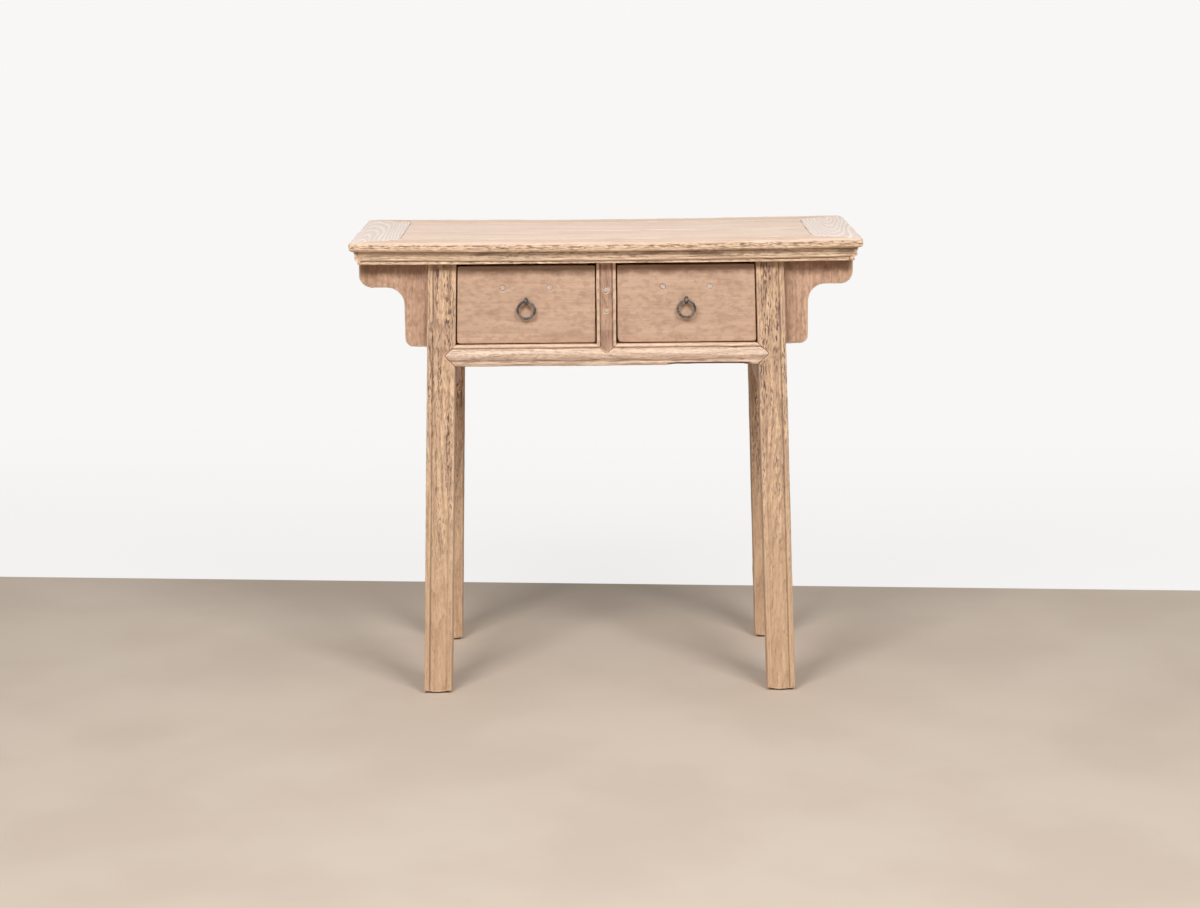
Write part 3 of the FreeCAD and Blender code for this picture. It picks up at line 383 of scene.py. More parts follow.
def clouds(name, size, contrast, level):
    """A cloud texture; where it reaches 1 it takes nothing away."""
    texture = bpy.data.textures.new(name, "CLOUDS")
    texture.noise_scale = size
    texture.noise_depth = 2
    texture.contrast = contrast
    texture.intensity = level
    return texture


hollows = clouds("hollows", size=0.022, contrast=1.6, level=1.2)
nibbles = clouds("nibbles", size=0.006, contrast=2.6, level=1.25)
guides = {}
for number, axis in enumerate("XYZ"):
    bpy.ops.object.empty_add()
    guides[axis] = bpy.context.active_object
    guides[axis].scale[number] = STRETCH
bpy.context.view_layer.update()
print("guides for the grain along", list(guides))

# %% Wear one piece
UPRIGHT = np.zeros(2)
SMOOTHING = 0.5
WEAR = {"voxel": 0.0013, "rounding": 3, "hollow": 0.0005, "nibble": 0.0014, "keep": 0.3}


def stand_for(piece, node):
    """The piece rides where the node rides, and hides the node."""
    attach(piece, nodes[node]["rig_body"])
    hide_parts(node)
    return piece


def move_points(piece, place):
    """Puts every point of a piece at its new place."""
    piece.data.vertices.foreach_set("co", place.astype(np.float32).ravel())
    piece.data.update()


def slide(piece, lean):
    """Slides each level of a piece sideways, by its height times the lean."""
    place = points_of(piece.data, "co")
    place[:, :2] += place[:, 2:] * lean
    move_points(piece, place)


def wear_down(node, along, bend=None, lean=UPRIGHT, **changes):
    """A worn copy of a wooden piece. bend moves its points, and a leaning piece stands upright while it is
    remeshed, so that its grooves follow the voxels. The changes are to the usual wear."""
    wear = {**WEAR, **changes}
    piece = copy_of(node)
    slide(piece, -lean)
    apply(piece, "REMESH", mode="VOXEL", voxel_size=wear["voxel"])
    slide(piece, lean)
    if bend:
        move_points(piece, bend(points_of(piece.data, "co")))
    apply(piece, "SMOOTH", factor=SMOOTHING, iterations=wear["rounding"])
    mark_edges(piece, wear["voxel"])
    grain = {"texture_coords": "OBJECT", "texture_coords_object": guides[along], "mid_level": 1.0}
    apply(piece, "DISPLACE", texture=hollows, strength=wear["hollow"], **grain)
    apply(piece, "DISPLACE", texture=nibbles, strength=wear["nibble"], vertex_group="edges", **grain)
    apply(piece, "DECIMATE", ratio=wear["keep"])
    move_points(piece, np.clip(points_of(piece.data, "co"), *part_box(node)))
    piece.vertex_groups.clear()
    bpy.ops.object.shade_smooth()
    return stand_for(piece, node)


print("wear takes up to", WEAR["hollow"] * 1000, "mm from faces and", WEAR["nibble"] * 1000, "mm from edges")

# %% [markdown]
# ## The elm finish
# Elm grows in rings, each with a band of open pores that weathers darker and lower than the rest. A wood can
# be painted as an image, but then its end grain never fits its sides. Here the rings are real circles round
# a heart that lies in or beside the piece, bent by slow noise: a heart that runs with the grain shows as
# lines, and one that tilts out of it shows as arches. The colour is laid on in turn, first streaks, then grey
# strands and patches, the bands of the rings, specks that gather in lanes along the grain, and pores. The
# stored wear pales the edges and paints shade into the grooves, and rings, specks and pores drive the bump.

# %% The tones of a kind of elm
TONES = {
    "grey": (188, 160, 142),
    "speck": (124, 99, 89),
    "pore": (112, 86, 72),
    "edge": (238, 206, 176),
    # Painted shade for the grooves, which the stored bend finds
    "groove_shade": (98, 72, 56),
}
SHARES = {
    "strands": 0.2,
    "patches": 0.3,
    "rings": 0.4,
    "specks": 0.5,
    "pores": 0.6,
    "edges": 0.5,
    "grooves": 0.5,
}


def new_look(pale, mid, dark, **changes):
    """The tones and shares of one kind of elm: the usual ones, apart from the changes."""
    tones = {"pale": pale, "mid": mid, "dark": dark, **TONES, **changes}
    return {name: value if name in SHARES else tone(*value) for name, value in {**SHARES, **tones}.items()}


def mixed(look, other, share):
    """A look whose tones and shares go over to those of another by a share."""
    both = {}
    for name, value in look.items():
        if name in SHARES:
            both[name] = value + share * (other[name] - value)
        else:
            both[name] = share.between(value, other[name])
    return both


print("a look has", len(TONES) + 3, "tones and", len(SHARES), "shares")

# %% Rings round a heart
RING = 0.0042
FLAT = (0.0, RING)
SWAYS, SWAY_REACH = (0.06, 0.4, 1.0), 0.032
PORES_OPEN, PORES_CLOSE = (0.0, 0.06), (0.1, 0.6)


def grown(node, spot, grain, axes, heart, arch):
    """How porous each place is within its year, and a number of its own for that year. The heart is an offset
    from the middle of the node, and an arch is the heart's tilt out of the grain and the width of a ring."""
    first, second, third = axes
    tilt, ring = arch
    low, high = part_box(node)
    middle = (low + high) / 2
    sway = (grain.noise(*SWAYS) - NOISE_MIDDLE) * SWAY_REACH
    wide = spot[first] + sway - (middle[first] + heart[0]) + (spot[third] - middle[third]) * tilt
    deep = spot[second] + sway - (middle[second] + heart[1])
    age = (wide * wide + deep * deep).root() / ring
    early = age.part().band(PORES_OPEN, PORES_CLOSE)
    year = age.node("ShaderNodeTexWhiteNoise", {"noise_dimensions": "1D"}, {"W": age.whole()})
    return early, year


print("elm rings are about", RING * 1000, "mm wide")

# %% Mix an elm finish for one piece
ACROSS_AND_ALONG = {"X": (1, 2, 0), "Y": (2, 0, 1), "Z": (0, 1, 2)}
# Of each kind of fleck: its width and length in metres, its detail, and the levels between which it rises
STREAKS = (0.006, 0.14, 3.0, 0.35, 0.65)
STRANDS = (0.004, 0.11, 2.0, 0.45, 0.62)
PATCHES = (0.007, 0.012, 5.0, 0.42, 0.68)
LANES = (0.01, 0.2, 2.0, 0.4, 0.62)
SPECKS = (0.0022, 0.011, 3.0, 0.5, 0.6)
PORES = (0.0011, 0.012, 2.0, 0.54, 0.66)
FIBRES = (0.0006, 0.02)
STREAK_SHARE, STRAY_SPECKS, STRAY_PORES = 0.6, 0.25, 0.4
EDGE_LEVELS, GROOVE_LEVELS = (0.2, 0.9), (0.15, 0.8)
PORE_DEPTH, RELIEF = 0.0007, 0.8
FIBRE_RISE, RING_SINK, SPECK_SINK = 0.25, 0.75, 0.9
DRY_GLOSS, DRY_ROUGHNESS, PORE_ROUGHNESS, FIBRE_ROUGHNESS = 0.3, 0.7, 0.25, 0.1


def elm(node, along, heart, look, change=None, stain=None, arch=FLAT):
    """Dry elm with its grain along an axis. A change varies its look from place to place, before the grain is
    drawn, and a stain colours it afterwards."""
    material, pen = new_finish(f"elm_{node}")
    place = pen.node("ShaderNodeTexCoord", {}, {}, "Object")
    spot = [pen.node("ShaderNodeSeparateXYZ", {}, {0: place}, axis) for axis in "XYZ"]
    axes = ACROSS_AND_ALONG[along]
    grain = pen.node("ShaderNodeCombineXYZ", {}, {number: spot[axis] for number, axis in enumerate(axes)})
    look = change(look, spot) if change else look
    early, year = grown(node, spot, grain, axes, heart, arch)
    streaks = grain.flecks(*STREAKS)
    strands = grain.flecks(*STRANDS)
    patches = grain.flecks(*PATCHES)
    lanes = grain.flecks(*LANES)
    specks = grain.flecks(*SPECKS) * (STRAY_SPECKS + lanes * (1 - STRAY_SPECKS)) * look["specks"]
    pores = grain.flecks(*PORES) * (early * (1 - STRAY_PORES) + STRAY_PORES) * look["pores"]
    fibres = grain.noise(*FIBRES)
    share = streaks * STREAK_SHARE + year * (1 - STREAK_SHARE)
    colour = share.between(look["pale"], look["mid"])
    colour = colour.blend(look["grey"], strands * look["strands"])
    colour = colour.blend(look["grey"], patches * look["patches"])
    colour = colour.blend(look["dark"], early * look["rings"])
    colour = colour.blend(look["speck"], specks)
    colour = colour.blend(look["pore"], pores)
    if stain:
        colour = stain(colour, spot, grain)
    # The stored bend, called wear: above zero it pales worn edges, below zero it marks grooves for painted
    # shade
    wear = pen.node("ShaderNodeAttribute", {"attribute_name": "wear"}, {}, "Fac")
    colour = colour.blend(look["edge"], wear.rise(*EDGE_LEVELS) * look["edges"])
    # Painted shade in the grooves, where the stored bend dips below zero
    colour = colour.blend(look["groove_shade"], (0 - wear).rise(*GROOVE_LEVELS) * look["grooves"])
    height = fibres * FIBRE_RISE - pores - early * look["rings"] * RING_SINK - specks * SPECK_SINK
    bump = pen.node("ShaderNodeBump", {}, {"Strength": RELIEF, "Distance": PORE_DEPTH, "Height": height})
    rough = DRY_ROUGHNESS + pores * PORE_ROUGHNESS + fibres * FIBRE_ROUGHNESS
    surface(pen, {"Base Color": colour, "Roughness": rough, "Specular IOR Level": DRY_GLOSS, "Normal": bump})
    return material


def dress(node, along, heart, look, change=None, stain=None, arch=FLAT, **wear):
    """A worn copy of a node in its own elm."""
    piece = wear_down(node, along, **wear)
    piece.data.materials.append(elm(node, along, heart, look, change, stain, arch))
    print(piece.name, len(piece.data.polygons), "faces")


print("pores are about", PORES[0] * 1000, "mm wide and", PORES[1] * 1000, "mm long")

# %% [markdown]
# ## Painted shadow under the top
# The moulding of the top shades what lies under it, and some staining has settled there where no cloth
# reaches, so the colour there is painted darker, ending in an uneven line. It could be painted on by hand,
# board by board. A darkening that follows the height, with noise added to that height, gives each board an
# edge of its own from the same few lines.

# %% Painted shade and staining under the moulding
# The tone of the painted shadow under the moulding, and of the staining there
SHADE_AND_GRIME = tone(122, 92, 76)
SHADE_AND_GRIME_PATCH, SHADE_AND_GRIME_SPREAD = (0.014, 0.018, 4.0), 1.6


def shade_and_grime(foot, head, share):
    """Painted shadow, with some staining, that grows from one level up to another, with an uneven edge."""
    def stain(colour, spot, grain):
        level = spot[2] + (grain.noise(*SHADE_AND_GRIME_PATCH) - NOISE_MIDDLE) * SHADE_AND_GRIME_SPREAD * (head - foot)
        return colour.blend(SHADE_AND_GRIME, level.rise(foot, head) * share)
    return stain


print("grime is", [round(v, 3) for v in SHADE_AND_GRIME[:3]], "in linear values")

# %% [markdown]
# ## The top
# A frame of four mitred members holds two panel boards. Its moulded edge has a nose, an ogee and a bead, and
# took most of the knocks. The upper side is paler, the two end members most of all, while the moulding below
# it kept a warmer tan: the upper side has bleached, and its paler tone is also painted light from above. So
# one look goes over to another at the shoulder of the nose. Under the nose, painted shadow lies in patches on
# the upper ogee, and a painted highlight on its lower part, where the light falls.
# The top has also sunk a little between its ends. A shape key or a lattice could bend it; moving the points
# by one short sum bends all six pieces alike.

# %% The looks of the top
FACES = {"front": -1, "back": 1}
SAG = 0.0035
HALF_LENGTH = cad_high.x
TOP_LEVEL = cad_high.z
SHOULDER, SHOULDER_EDGE, NOSE_LOW, OGEE_FOOT = 0.0035, 0.001, 0.0165, 0.0344
NOSE_FACE = ((SHOULDER, SHOULDER + 0.002), (NOSE_LOW - 0.006, NOSE_LOW - 0.003))
RIM = (OGEE_FOOT - 0.006, OGEE_FOOT - 0.002)
OGEE = ((NOSE_LOW, NOSE_LOW + 0.003), RIM)
FOOT = (RIM, (OGEE_FOOT, OGEE_FOOT + 0.001))
CHIPS, CHIP_TONE, CHIP_SHARE = (0.004, 0.016, 3.0, 0.52, 0.6), tone(122, 92, 74), 0.7
# Painted shadow of the nose on the upper ogee, in patches
OGEE_SHADE_PATCHES, OGEE_SHADE_TONE = (0.014, 0.07, 3.0, 0.54, 0.66), tone(126, 98, 78)
OGEE_SHADE_LEAST, OGEE_SHADE_MORE = 0.25, 0.5
# Painted highlight on the lower ogee, where the light from above falls
OGEE_HIGHLIGHT_TONE, OGEE_HIGHLIGHT_SHARE = tone(255, 226, 194), 0.8
MOULDED = new_look((255, 226, 194), (245, 211, 178), (182, 142, 114), specks=0.7, edges=0.4, grooves=0.4)
PALE = {"specks": 0.06, "pores": 0.2, "edges": 0.0}
# The looks of the upper side are paler: it has bleached, and the paler tone also paints light from above
PANEL = new_look((241, 219, 203), (224, 198, 179), (206, 178, 158), rings=0.35, grey=(222, 200, 184), **PALE)
MEMBER = new_look((234, 208, 187), (220, 192, 170), (204, 174, 152), rings=0.3, grey=(218, 192, 172), **PALE)
END = new_look((232, 214, 201), (224, 205, 192), (255, 248, 243), rings=0.55, grey=(220, 204, 194), **PALE)


def sunk(place):
    """Lowers the middle of the top."""
    place[:, 2] -= SAG * (1 - (place[:, 0] / HALF_LENGTH) ** 2)
    return place


def below_top(spot):
    """How far a place lies under the sunk upper side."""
    return TOP_LEVEL - SAG - spot[2] + spot[0] * spot[0] * (SAG / HALF_LENGTH**2)


def bleached_and_lit_to(look_above):
    """A change to a paler look above the shoulder of the nose: bleaching, and painted light on the upper
    side.
    """
    def change(look, spot):
        under = below_top(spot).rise(SHOULDER - SHOULDER_EDGE, SHOULDER + SHOULDER_EDGE)
        return mixed(look, look_above, 1 - under)
    return change


def battered_shaded_and_lit(colour, spot, grain):
    """Dark chips along the face of the nose, painted shadow of the nose in patches on the ogee, and a painted
    highlight at its foot.
    """
    below = below_top(spot)
    face = below.band(*NOSE_FACE)
    chips = grain.flecks(*CHIPS) * face
    colour = colour.blend(CHIP_TONE, chips * CHIP_SHARE)
    ogee = below.band(*OGEE)
    patches = OGEE_SHADE_LEAST + grain.flecks(*OGEE_SHADE_PATCHES) * OGEE_SHADE_MORE
    colour = colour.blend(OGEE_SHADE_TONE, patches * ogee)
    foot = below.band(*FOOT)
    return colour.blend(OGEE_HIGHLIGHT_TONE, foot * OGEE_HIGHLIGHT_SHARE)


print("the top has sunk by", SAG * 1000, "mm")

# %% Frame and panel of the top
EDGE_WEAR = {"voxel": 0.0011, "nibble": 0.0022, "keep": 0.22, "bend": sunk}
RAIL_HEART, PANEL_HEART, PANEL_VOXEL = (0.02, -0.16), (0.03, -0.15), 0.0018
END_HEARTS = {"left": (0.0045, -0.018), "right": (0.0045, 0.01)}
END_ARCHES = {"left": (0.1, 0.006), "right": (-0.1, 0.006)}

for face in FACES:
    dress(f"top_{face}_rail", "X", RAIL_HEART, MOULDED, bleached_and_lit_to(MEMBER), battered_shaded_and_lit, **EDGE_WEAR)
    dress(f"top_panel_{face}", "X", PANEL_HEART, PANEL, voxel=PANEL_VOXEL, bend=sunk)
for side, heart in END_HEARTS.items():
    arch = END_ARCHES[side]
    dress(f"top_{side}_end", "Y", heart, MOULDED, bleached_and_lit_to(END), battered_shaded_and_lit, arch, **EDGE_WEAR)

# %% [markdown]
# ## Legs
# The legs are splayed, crowned posts with a bead along each edge, and their feet have worn to a low dome from
# being dragged. Rounding the feet in the solid would need fillets on doubly leaning faces. On the remeshed
# copy it takes one sum, which lifts the points near the floor the more, the further out they lie. The upper
# half of a leg is full of dark specks and the lower half is calm, so here too one look goes over to another.
# A pale line runs round the foot, and under the top the legs take the painted shadow of the moulding.

# %% The look and the feet of the legs
SIDES = {"left": -1, "right": 1}
SPLAY, SPLAY_HEIGHT = (0.024, 0.038), 0.807
LEAN = np.array(SPLAY) / SPLAY_HEIGHT
LEG_MIDDLE, GROOVE_EDGE = 0.323, 0.005
# Shares of painted shade in the inner and the outer groove of a leg
INNER_GROOVE_SHADE, OUTER_GROOVE_SHADE = 0.15, 0.55
FOOT_HEIGHT, FOOT_WEAR, FOOT_LEVEL = 0.02, 0.006, 0.002
FOOT_LINE, FOOT_TONE, FOOT_SHARE = 0.007, tone(240, 218, 196), 0.6
CALM_LOW, CALM_HIGH = 0.15, 0.5
UPPER = {"grey": (166, 136, 120), "speck": (112, 88, 79), "rings": 0.3, "strands": 0.55, "specks": 1.0}
LOWER = {"grey": (180, 148, 122), "rings": 0.2, "strands": 0.15, "specks": 0.2, "pores": 0.4, "patches": 0.15}
LEG = new_look((248, 211, 172), (209, 172, 141), (168, 130, 104), edges=0.4, **UPPER)
LEG_LOW = new_look((231, 196, 161), (206, 169, 135), (178, 140, 110), edges=0.4, **LOWER)
# Painted shadow of the moulding on the tops of the legs, with some staining
LEG_SHADE_AND_GRIME = shade_and_grime(foot=0.775, head=0.815, share=0.5)


def worn_foot(place):
    """Domes the end that stands on the floor."""
    low = place[place[:, 2] < FOOT_LEVEL, :2]
    middle = (low.min(0) + low.max(0)) / 2
    reach = (low.max(0) - low.min(0)) / 2
    out = (((place[:, :2] - middle) / reach) ** 2).mean(1)
    near = np.clip(1 - place[:, 2] / FOOT_HEIGHT, 0, 1)
    place[:, 2] += FOOT_WEAR * out * near**2
    return place


def calm_below(out_x):
    """A change to a calmer look towards the floor, with more painted shade in the outer groove than in the
    inner.
    """
    def change(look, spot):
        outer = (spot[0] * out_x + spot[2] * LEAN[0] - LEG_MIDDLE).rise(-GROOVE_EDGE, GROOVE_EDGE)
        calmer = mixed(look, LEG_LOW, 1 - spot[2].rise(CALM_LOW, CALM_HIGH))
        return {**calmer, "grooves": INNER_GROOVE_SHADE + outer * (OUTER_GROOVE_SHADE - INNER_GROOVE_SHADE)}
    return change


def pale_foot_and_top_shade(colour, spot, grain):
    """A pale line round the foot, and the painted shadow of the moulding, with some staining, under the top.
    """
    colour = colour.blend(FOOT_TONE, (1 - spot[2].rise(FOOT_LINE / 2, FOOT_LINE)) * FOOT_SHARE)
    return LEG_SHADE_AND_GRIME(colour, spot, grain)


print("the feet are worn by up to", FOOT_WEAR * 1000, "mm")

# %% Four legs
LEG_VOXEL = {"front": 0.0011, "back": 0.0014}
LEG_ROUNDING = 4
HEART_ASIDE, HEART_INSIDE = 0.02, 0.09

for face, out_y in FACES.items():
    for side, out_x in SIDES.items():
        heart = (-HEART_ASIDE * out_x, -HEART_INSIDE * out_y)
        shape = {"lean": LEAN * (-out_x, -out_y), "bend": worn_foot}
        wear = {"voxel": LEG_VOXEL[face], "rounding": LEG_ROUNDING}
        dress(f"{face}_{side}_leg", "Z", heart, LEG, calm_below(out_x), pale_foot_and_top_shade, **shape, **wear)

# %% [markdown]
# ## Rails and post
# The rail under the drawers is crowned and runs into the legs with pointed mitres, and the post stands on it
# in the same way. On the right the low edge of the rail's bead has broken off. Cutting it from the solid
# would leave a clean step, so the points of the remeshed copy are pushed back instead, and the smoothing
# rounds the break. Dark painted shade marks the crack along the same stretch, and streaks of painted shade
# darken the rail towards its low bead, where the crown turns down from the light.

# %% Rails and post
RAIL = new_look((249, 221, 198), (229, 198, 173), (182, 148, 124), rings=0.25, specks=0.35, grooves=0.25)
POST_SHARES = {"strands": 0.5, "edges": 0.8, "grooves": 0.7}
POST = new_look((208, 170, 143), (180, 142, 116), (150, 112, 90), grey=(164, 140, 126), **POST_SHARES)
# Painted shade in streaks on the lower part of the rail, which faces down from the light
RAIL_SHADE_STREAKS, RAIL_SHADE_TONE = (0.003, 0.04, 3.0, 0.45, 0.6), tone(140, 108, 86)
RAIL_SHADE_REACH, RAIL_SHADE_LEAST, RAIL_SHADE_MORE = 0.016, 0.25, 0.6
BREAK_LEFT, BREAK_RIGHT, BREAK_TAPER = 0.108, 0.268, 0.02
BREAK_DEPTH, BREAK_BEHIND, BREAK_EDGE = 0.012, 0.02, 0.001
# Painted shade in the crack where the bead has broken off
BREAK_SHADE_TONE, BREAK_SHADE_SHARE = tone(58, 44, 38), 0.8
BREAK_HEIGHT, BEAD_HEIGHT = 0.0038, 0.007
rail_low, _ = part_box("front_rail")
BREAK_TOP = rail_low.z + BREAK_HEIGHT
BEAD_TOP = rail_low.z + BEAD_HEIGHT
RAIL_INSIDE, RAIL_ABOVE, SIDE_RAIL_ABOVE = 0.08, 0.02, 0.03
POST_HEART, POST_VOXEL = (0.03, 0.1), 0.0009


def splintered(place):
    """Breaks the low edge of the bead off on the right."""
    x, y, z = place.T
    broken = np.clip(np.minimum(x - BREAK_LEFT, BREAK_RIGHT - x) / BREAK_TAPER, 0, 1)
    y += BREAK_DEPTH * broken * ((y < rail_low.y + BREAK_BEHIND) & (z < BREAK_TOP))
    return np.stack([x, y, z], 1)


def shaded_low_and_broken(colour, spot, grain):
    """Painted shade in streaks towards the low bead, and dark painted shade in the crack where the bead has
    broken off.
    """
    x, _, z = spot
    streaks = RAIL_SHADE_LEAST + grain.flecks(*RAIL_SHADE_STREAKS) * RAIL_SHADE_MORE
    colour = colour.blend(RAIL_SHADE_TONE, (1 - z.rise(BEAD_TOP, BEAD_TOP + RAIL_SHADE_REACH)) * streaks)
    broken = x.band((BREAK_LEFT, BREAK_LEFT + BREAK_TAPER), (BREAK_RIGHT - BREAK_TAPER, BREAK_RIGHT))
    return colour.blend(BREAK_SHADE_TONE, broken * (1 - z.rise(BREAK_TOP - BREAK_EDGE, BREAK_TOP)) * BREAK_SHADE_SHARE)


FRONT_RAIL_WEAR = {"voxel": 0.0011, "rounding": 4, "bend": splintered}

dress("front_rail", "X", (RAIL_INSIDE, RAIL_ABOVE), RAIL, stain=shaded_low_and_broken, **FRONT_RAIL_WEAR)
dress("back_rail", "X", (-RAIL_INSIDE, RAIL_ABOVE), RAIL)
dress("centre_post", "Z", POST_HEART, POST, voxel=POST_VOXEL)
for side, out_x in SIDES.items():
    dress(f"side_rail_{side}", "Y", (SIDE_RAIL_ABOVE, -RAIL_INSIDE * out_x), RAIL)

# %% [markdown]
# ## Spandrels
# The spandrels are flat boards with upright grain that stand outside the legs, under the ends of the top.
# They are redder than the legs, with painted shadow and some staining under the moulding, and painted shade
# in the corner beside the leg. A painted mask could hold that darkening. Here the distance from the leg,
# roughened by noise, takes its place.

# %% Spandrels
SPANDREL_SHARES = {"rings": 0.15, "pores": 0.4, "patches": 0.7, "specks": 0.3}
SPANDREL = new_look((219, 181, 154), (197, 158, 132), (156, 116, 93), grey=(170, 132, 106), **SPANDREL_SHARES)
LEG_SIDE, LEG_REACH, LEG_SMEAR = 0.328, 0.03, (0.012, 0.05, 4.0)
# Painted shade in the corner beside the leg, stronger on the right
LEG_SHADE = {"left": 0.15, "right": 0.35}
SPANDREL_ASIDE, SPANDREL_INSIDE = 0.02, 0.1
# Painted shadow of the moulding on the spandrels, with some staining
HEAD_SHADE_AND_GRIME = shade_and_grime(foot=0.772, head=0.808, share=0.62)


def shaded_beside(out_x, share):
    """Painted shadow with some staining under the moulding, and painted shade in the corner beside the leg.
    """
    def stain(colour, spot, grain):
        from_leg = spot[0] * out_x - LEG_SIDE + (grain.noise(*LEG_SMEAR) - NOISE_MIDDLE) * LEG_REACH
        colour = colour.blend(SHADE_AND_GRIME, (1 - from_leg.rise(0.0, LEG_REACH)) * share)
        return HEAD_SHADE_AND_GRIME(colour, spot, grain)
    return stain


for face, out_y in FACES.items():
    heart = (SPANDREL_ASIDE, -SPANDREL_INSIDE * out_y)
    for side, out_x in SIDES.items():
        stain = shaded_beside(out_x, LEG_SHADE[side])
        dress(f"{face}_{side}_spandrel", "Z", heart, SPANDREL, stain=stain)

# %% [markdown]
# ## Drawer fronts and thin panels
# The drawer fronts are plain boards, smoother than the legs, with smudges from hands and low corners that
# have rubbed round. A bevel would round all their edges alike, so the points near these two corners are drawn
# in to an arc instead. Their tops take painted shadow from the moulding, with some staining. The panels that
# close the case at its ends and its back are browner boards, and the usual wear is enough for them.

# %% Drawer fronts, side panels and back panel
CORNERS = {"left": (0.008, 0.004), "right": (0.012, 0.005)}
FRONT_WEAR = {"voxel": 0.0014, "rounding": 2, "hollow": 0.0003, "nibble": 0.0006}
DRAWER_SHARES = {"rings": 0.05, "pores": 0.2, "specks": 0.05, "patches": 0.7, "edges": 0.2, "grooves": 0.1}
DRAWER = new_look((214, 181, 156), (200, 166, 141), (180, 146, 122), grey=(184, 150, 127), **DRAWER_SHARES)
SMUDGES, SMUDGE_TONE, SMUDGE_SHARE = (0.03, 0.06, 5.0, 0.5, 0.74), tone(158, 126, 104), 0.4
# Painted shadow of the moulding on the tops of the drawer fronts, with some staining
FRONT_SHADE_AND_GRIME = shade_and_grime(foot=0.779, head=0.796, share=0.55)
BOARD = new_look((200, 164, 136), (182, 146, 118), (150, 114, 90), rings=0.35)
BOARD_VOXEL = 0.002
FRONT_HEART, SIDE_PANEL_HEART, BACK_PANEL_HEART = (0.2, -0.03), (0.02, 0.15), (-0.15, 0.02)


def rubbed_round(node, radii):
    """A bend that draws the low left and low right corner of a drawer front in to arcs of these radii."""
    low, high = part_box(node)

    def bend(place):
        for edge, inwards, radius in zip((low.x, high.x), (1, -1), radii):
            centre = np.array([edge + inwards * radius, low.z + radius])
            out = (place[:, [0, 2]] - centre) * (-inwards, -1)
            far = np.linalg.norm(out, axis=1)
            chosen = (out.min(1) > 0) & (far > radius)
            arc = out[chosen] * (radius / far[chosen])[:, None]
            place[np.ix_(chosen, [0, 2])] = centre + arc * (-inwards, -1)
        return place
    return bend


def smudged_and_shaded(colour, spot, grain):
    """Broad smudges, and painted shadow from the moulding, with some staining."""
    colour = colour.blend(SMUDGE_TONE, grain.flecks(*SMUDGES) * SMUDGE_SHARE)
    return FRONT_SHADE_AND_GRIME(colour, spot, grain)


for side in SIDES:
    node = f"{side}_drawer_front"
    bend = rubbed_round(node, CORNERS[side])
    dress(node, "X", FRONT_HEART, DRAWER, stain=smudged_and_shaded, bend=bend, **FRONT_WEAR)
    dress(f"side_panel_{side}", "Y", SIDE_PANEL_HEART, BOARD, voxel=BOARD_VOXEL)
dress("back_panel", "X", BACK_PANEL_HEART, BOARD, voxel=BOARD_VOXEL)

# %% [markdown]
# ## Plugs
# Wooden plugs fill old holes in the drawer fronts and the post. They could be dots in the finish of those
# boards, but as pieces of their own they show end grain and a fine line round them. Their grain runs towards
# the front, with its heart close to their middle, and small as they are, they are cut into finer faces.

# %% Plugs
PLUG_TONES = {"grey": (206, 192, 182), "edge": (212, 190, 174)}
PLUG = new_look((232, 218, 208), (206, 188, 175), (160, 138, 122), rings=0.3, **PLUG_TONES)
PLUG_HEART = (0.004, 0.003)
PLUG_WEAR = {"voxel": 0.0006, "rounding": 2, "hollow": 0.0003, "nibble": 0.0006}

for name in ("left_drawer", "right_drawer", "post"):
    dress(f"{name}_plugs", "Y", PLUG_HEART, PLUG, **PLUG_WEAR)

# %% [markdown]
# ## Inside
# The drawers' boxes, the runners and the battens stayed browner and hardly wore. They could be worn down like
# the rest, but none of it would show, so they keep their solids and only take the finish.

# %% Pieces inside
INNER = new_look((184, 148, 116), (166, 130, 100), (126, 94, 70), rings=0.45, patches=0.4)
INNER_HEART = (0.02, -0.12)
INSIDE = {"back": "X", "bottom": "X", "near_side": "Y", "far_side": "Y"}
inner = {f"{side}_drawer_{name}": along for side in SIDES for name, along in INSIDE.items()}
for name in ("left", "centre", "right"):
    inner[f"runner_{name}"] = "Y"
    inner[f"batten_{name}"] = "Y"
inner["centre_guide"] = "Y"
for node, along in inner.items():
    nodes[node].data.materials.clear()
    nodes[node].data.materials.append(elm(node, along, INNER_HEART, INNER))
print(len(inner), "pieces inside keep their solids")

# %% [markdown]
# ## Forged iron
# The pulls are iron that was hammered into shape and has long been dull. A plain metal shader would mirror
# the room as chrome does. A dark tone that is only partly metal, with paler worn places, a little rust and a
# bump of scale, comes closer to a forged skin.

# %% Forged iron
IRON_DARK = tone(80, 74, 71)
IRON_WORN = tone(134, 125, 119)
RUST = tone(92, 66, 52)
SCALE, SCALE_DEPTH, SCALE_RELIEF = (0.0022, 0.0022, 4.0), 0.0003, 0.6
WORN_PATCHES = (0.006, 0.006, 3.0, 0.42, 0.62)
RUST_PATCHES, RUST_SHARE = (0.0035, 0.0035, 4.0, 0.56, 0.7), 0.7
IRON_METAL, RUST_LOSS = 0.4, 0.3
IRON_ROUGHNESS, SCALE_ROUGHNESS = 0.5, 0.25

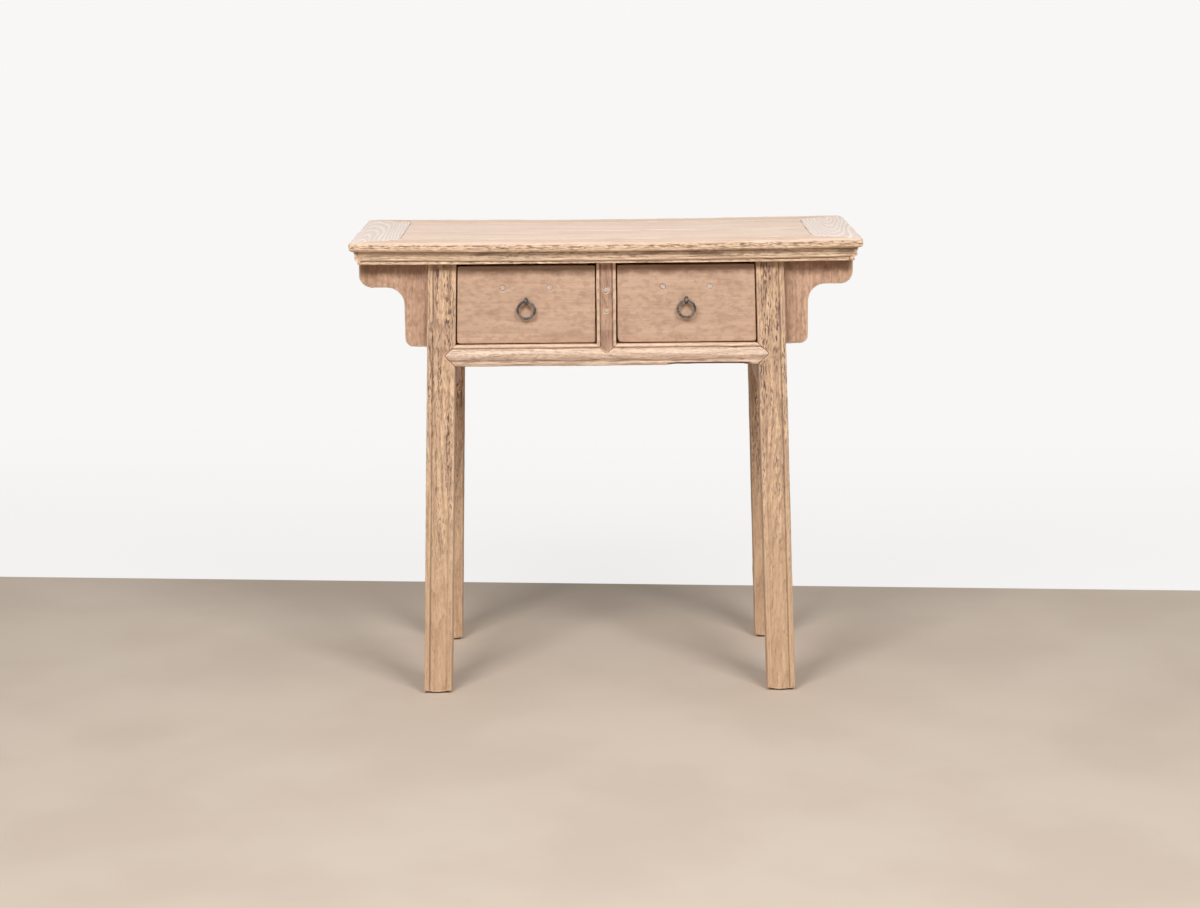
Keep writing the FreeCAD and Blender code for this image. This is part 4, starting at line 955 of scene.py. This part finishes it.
iron, pen = new_finish("forged_iron")
place = pen.node("ShaderNodeTexCoord", {}, {}, "Object")
scale = place.noise(*SCALE)
worn = place.flecks(*WORN_PATCHES)
rust = place.flecks(*RUST_PATCHES)
colour = worn.between(IRON_DARK, IRON_WORN)
colour = colour.blend(RUST, rust * RUST_SHARE)
bump = pen.node("ShaderNodeBump", {}, {"Strength": SCALE_RELIEF, "Distance": SCALE_DEPTH, "Height": scale})
metal = IRON_METAL - rust * RUST_LOSS
rough = IRON_ROUGHNESS + scale * SCALE_ROUGHNESS
surface(pen, {"Base Color": colour, "Metallic": metal, "Roughness": rough, "Normal": bump})
print("iron scale is", SCALE_DEPTH * 1000, "mm deep")

# %% [markdown]
# ## Rings
# Each pull is a ring that hangs in the eye of a split pin. It starts as a torus, is drawn thin at the top
# where it has hung and swung, and swells at the bottom where its ends were welded. Sculpting would do that by
# eye. Shrink and fatten with proportional editing does it by a named amount.

# %% Rings
WIRE = 0.00235
HUNG, WELD, DENT = -0.0001, 0.0001, 0.0001
REACH = 0.012


def swell(ring, level, amount):
    """Fattens the wire at a level, and its neighbours less and less."""
    near = np.abs(points_of(ring.data, "co")[:, 2] - level) < 2 * WIRE
    ring.data.vertices.foreach_set("select", near)
    bpy.ops.object.mode_set(mode="EDIT")
    bpy.ops.mesh.select_mode(type="VERT")
    bpy.ops.transform.shrink_fatten(value=amount, use_proportional_edit=True, proportional_size=REACH)
    bpy.ops.object.mode_set(mode="OBJECT")


for side in SIDES:
    low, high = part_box(f"{side}_pull_ring")
    middle = (low + high) / 2
    bpy.ops.object.select_all(action="DESELECT")
    bpy.ops.mesh.primitive_torus_add(
        location=middle,
        rotation=(math.pi / 2, 0, 0),
        major_segments=72,
        minor_segments=20,
        major_radius=(high.x - low.x) / 2 - WIRE,
        minor_radius=WIRE,
    )
    ring = bpy.context.active_object
    ring.name = f"forged_{side}_ring"
    bpy.ops.object.transform_apply(location=True, rotation=True, scale=True)
    swell(ring, high.z, HUNG)
    swell(ring, low.z, WELD)
    apply(ring, "DISPLACE", texture=nibbles, strength=DENT, mid_level=1.0)
    bpy.ops.object.shade_smooth()
    ring.data.materials.append(iron)
    stand_for(ring, f"{side}_pull_ring")
    print(ring.name, len(ring.data.polygons), "faces")

# %% [markdown]
# ## Eyes
# The eye of the split pin is a small, thick loop, with chamfered edges in the solid. A bevel would have to
# follow each of those edges. It is small enough to be remeshed finely and smoothed instead.

# %% Eyes
EYE_VOXEL, EYE_ROUNDING, EYE_KEEP = 0.0004, 3, 0.4

for side in SIDES:
    eye = copy_of(f"{side}_pull_eye")
    apply(eye, "REMESH", mode="VOXEL", voxel_size=EYE_VOXEL)
    apply(eye, "SMOOTH", factor=SMOOTHING, iterations=EYE_ROUNDING)
    apply(eye, "DECIMATE", ratio=EYE_KEEP)
    bpy.ops.object.shade_smooth()
    eye.data.materials.append(iron)
    stand_for(eye, f"{side}_pull_eye")
    print(eye.name, len(eye.data.polygons), "faces")

# %% [markdown]
# ## Finish
# The guides have done their work, and are removed. Wear may only take wood away, and each worn piece is
# held within the box of its solid.

# %% Remove the guides
for guide in guides.values():
    bpy.data.objects.remove(guide)
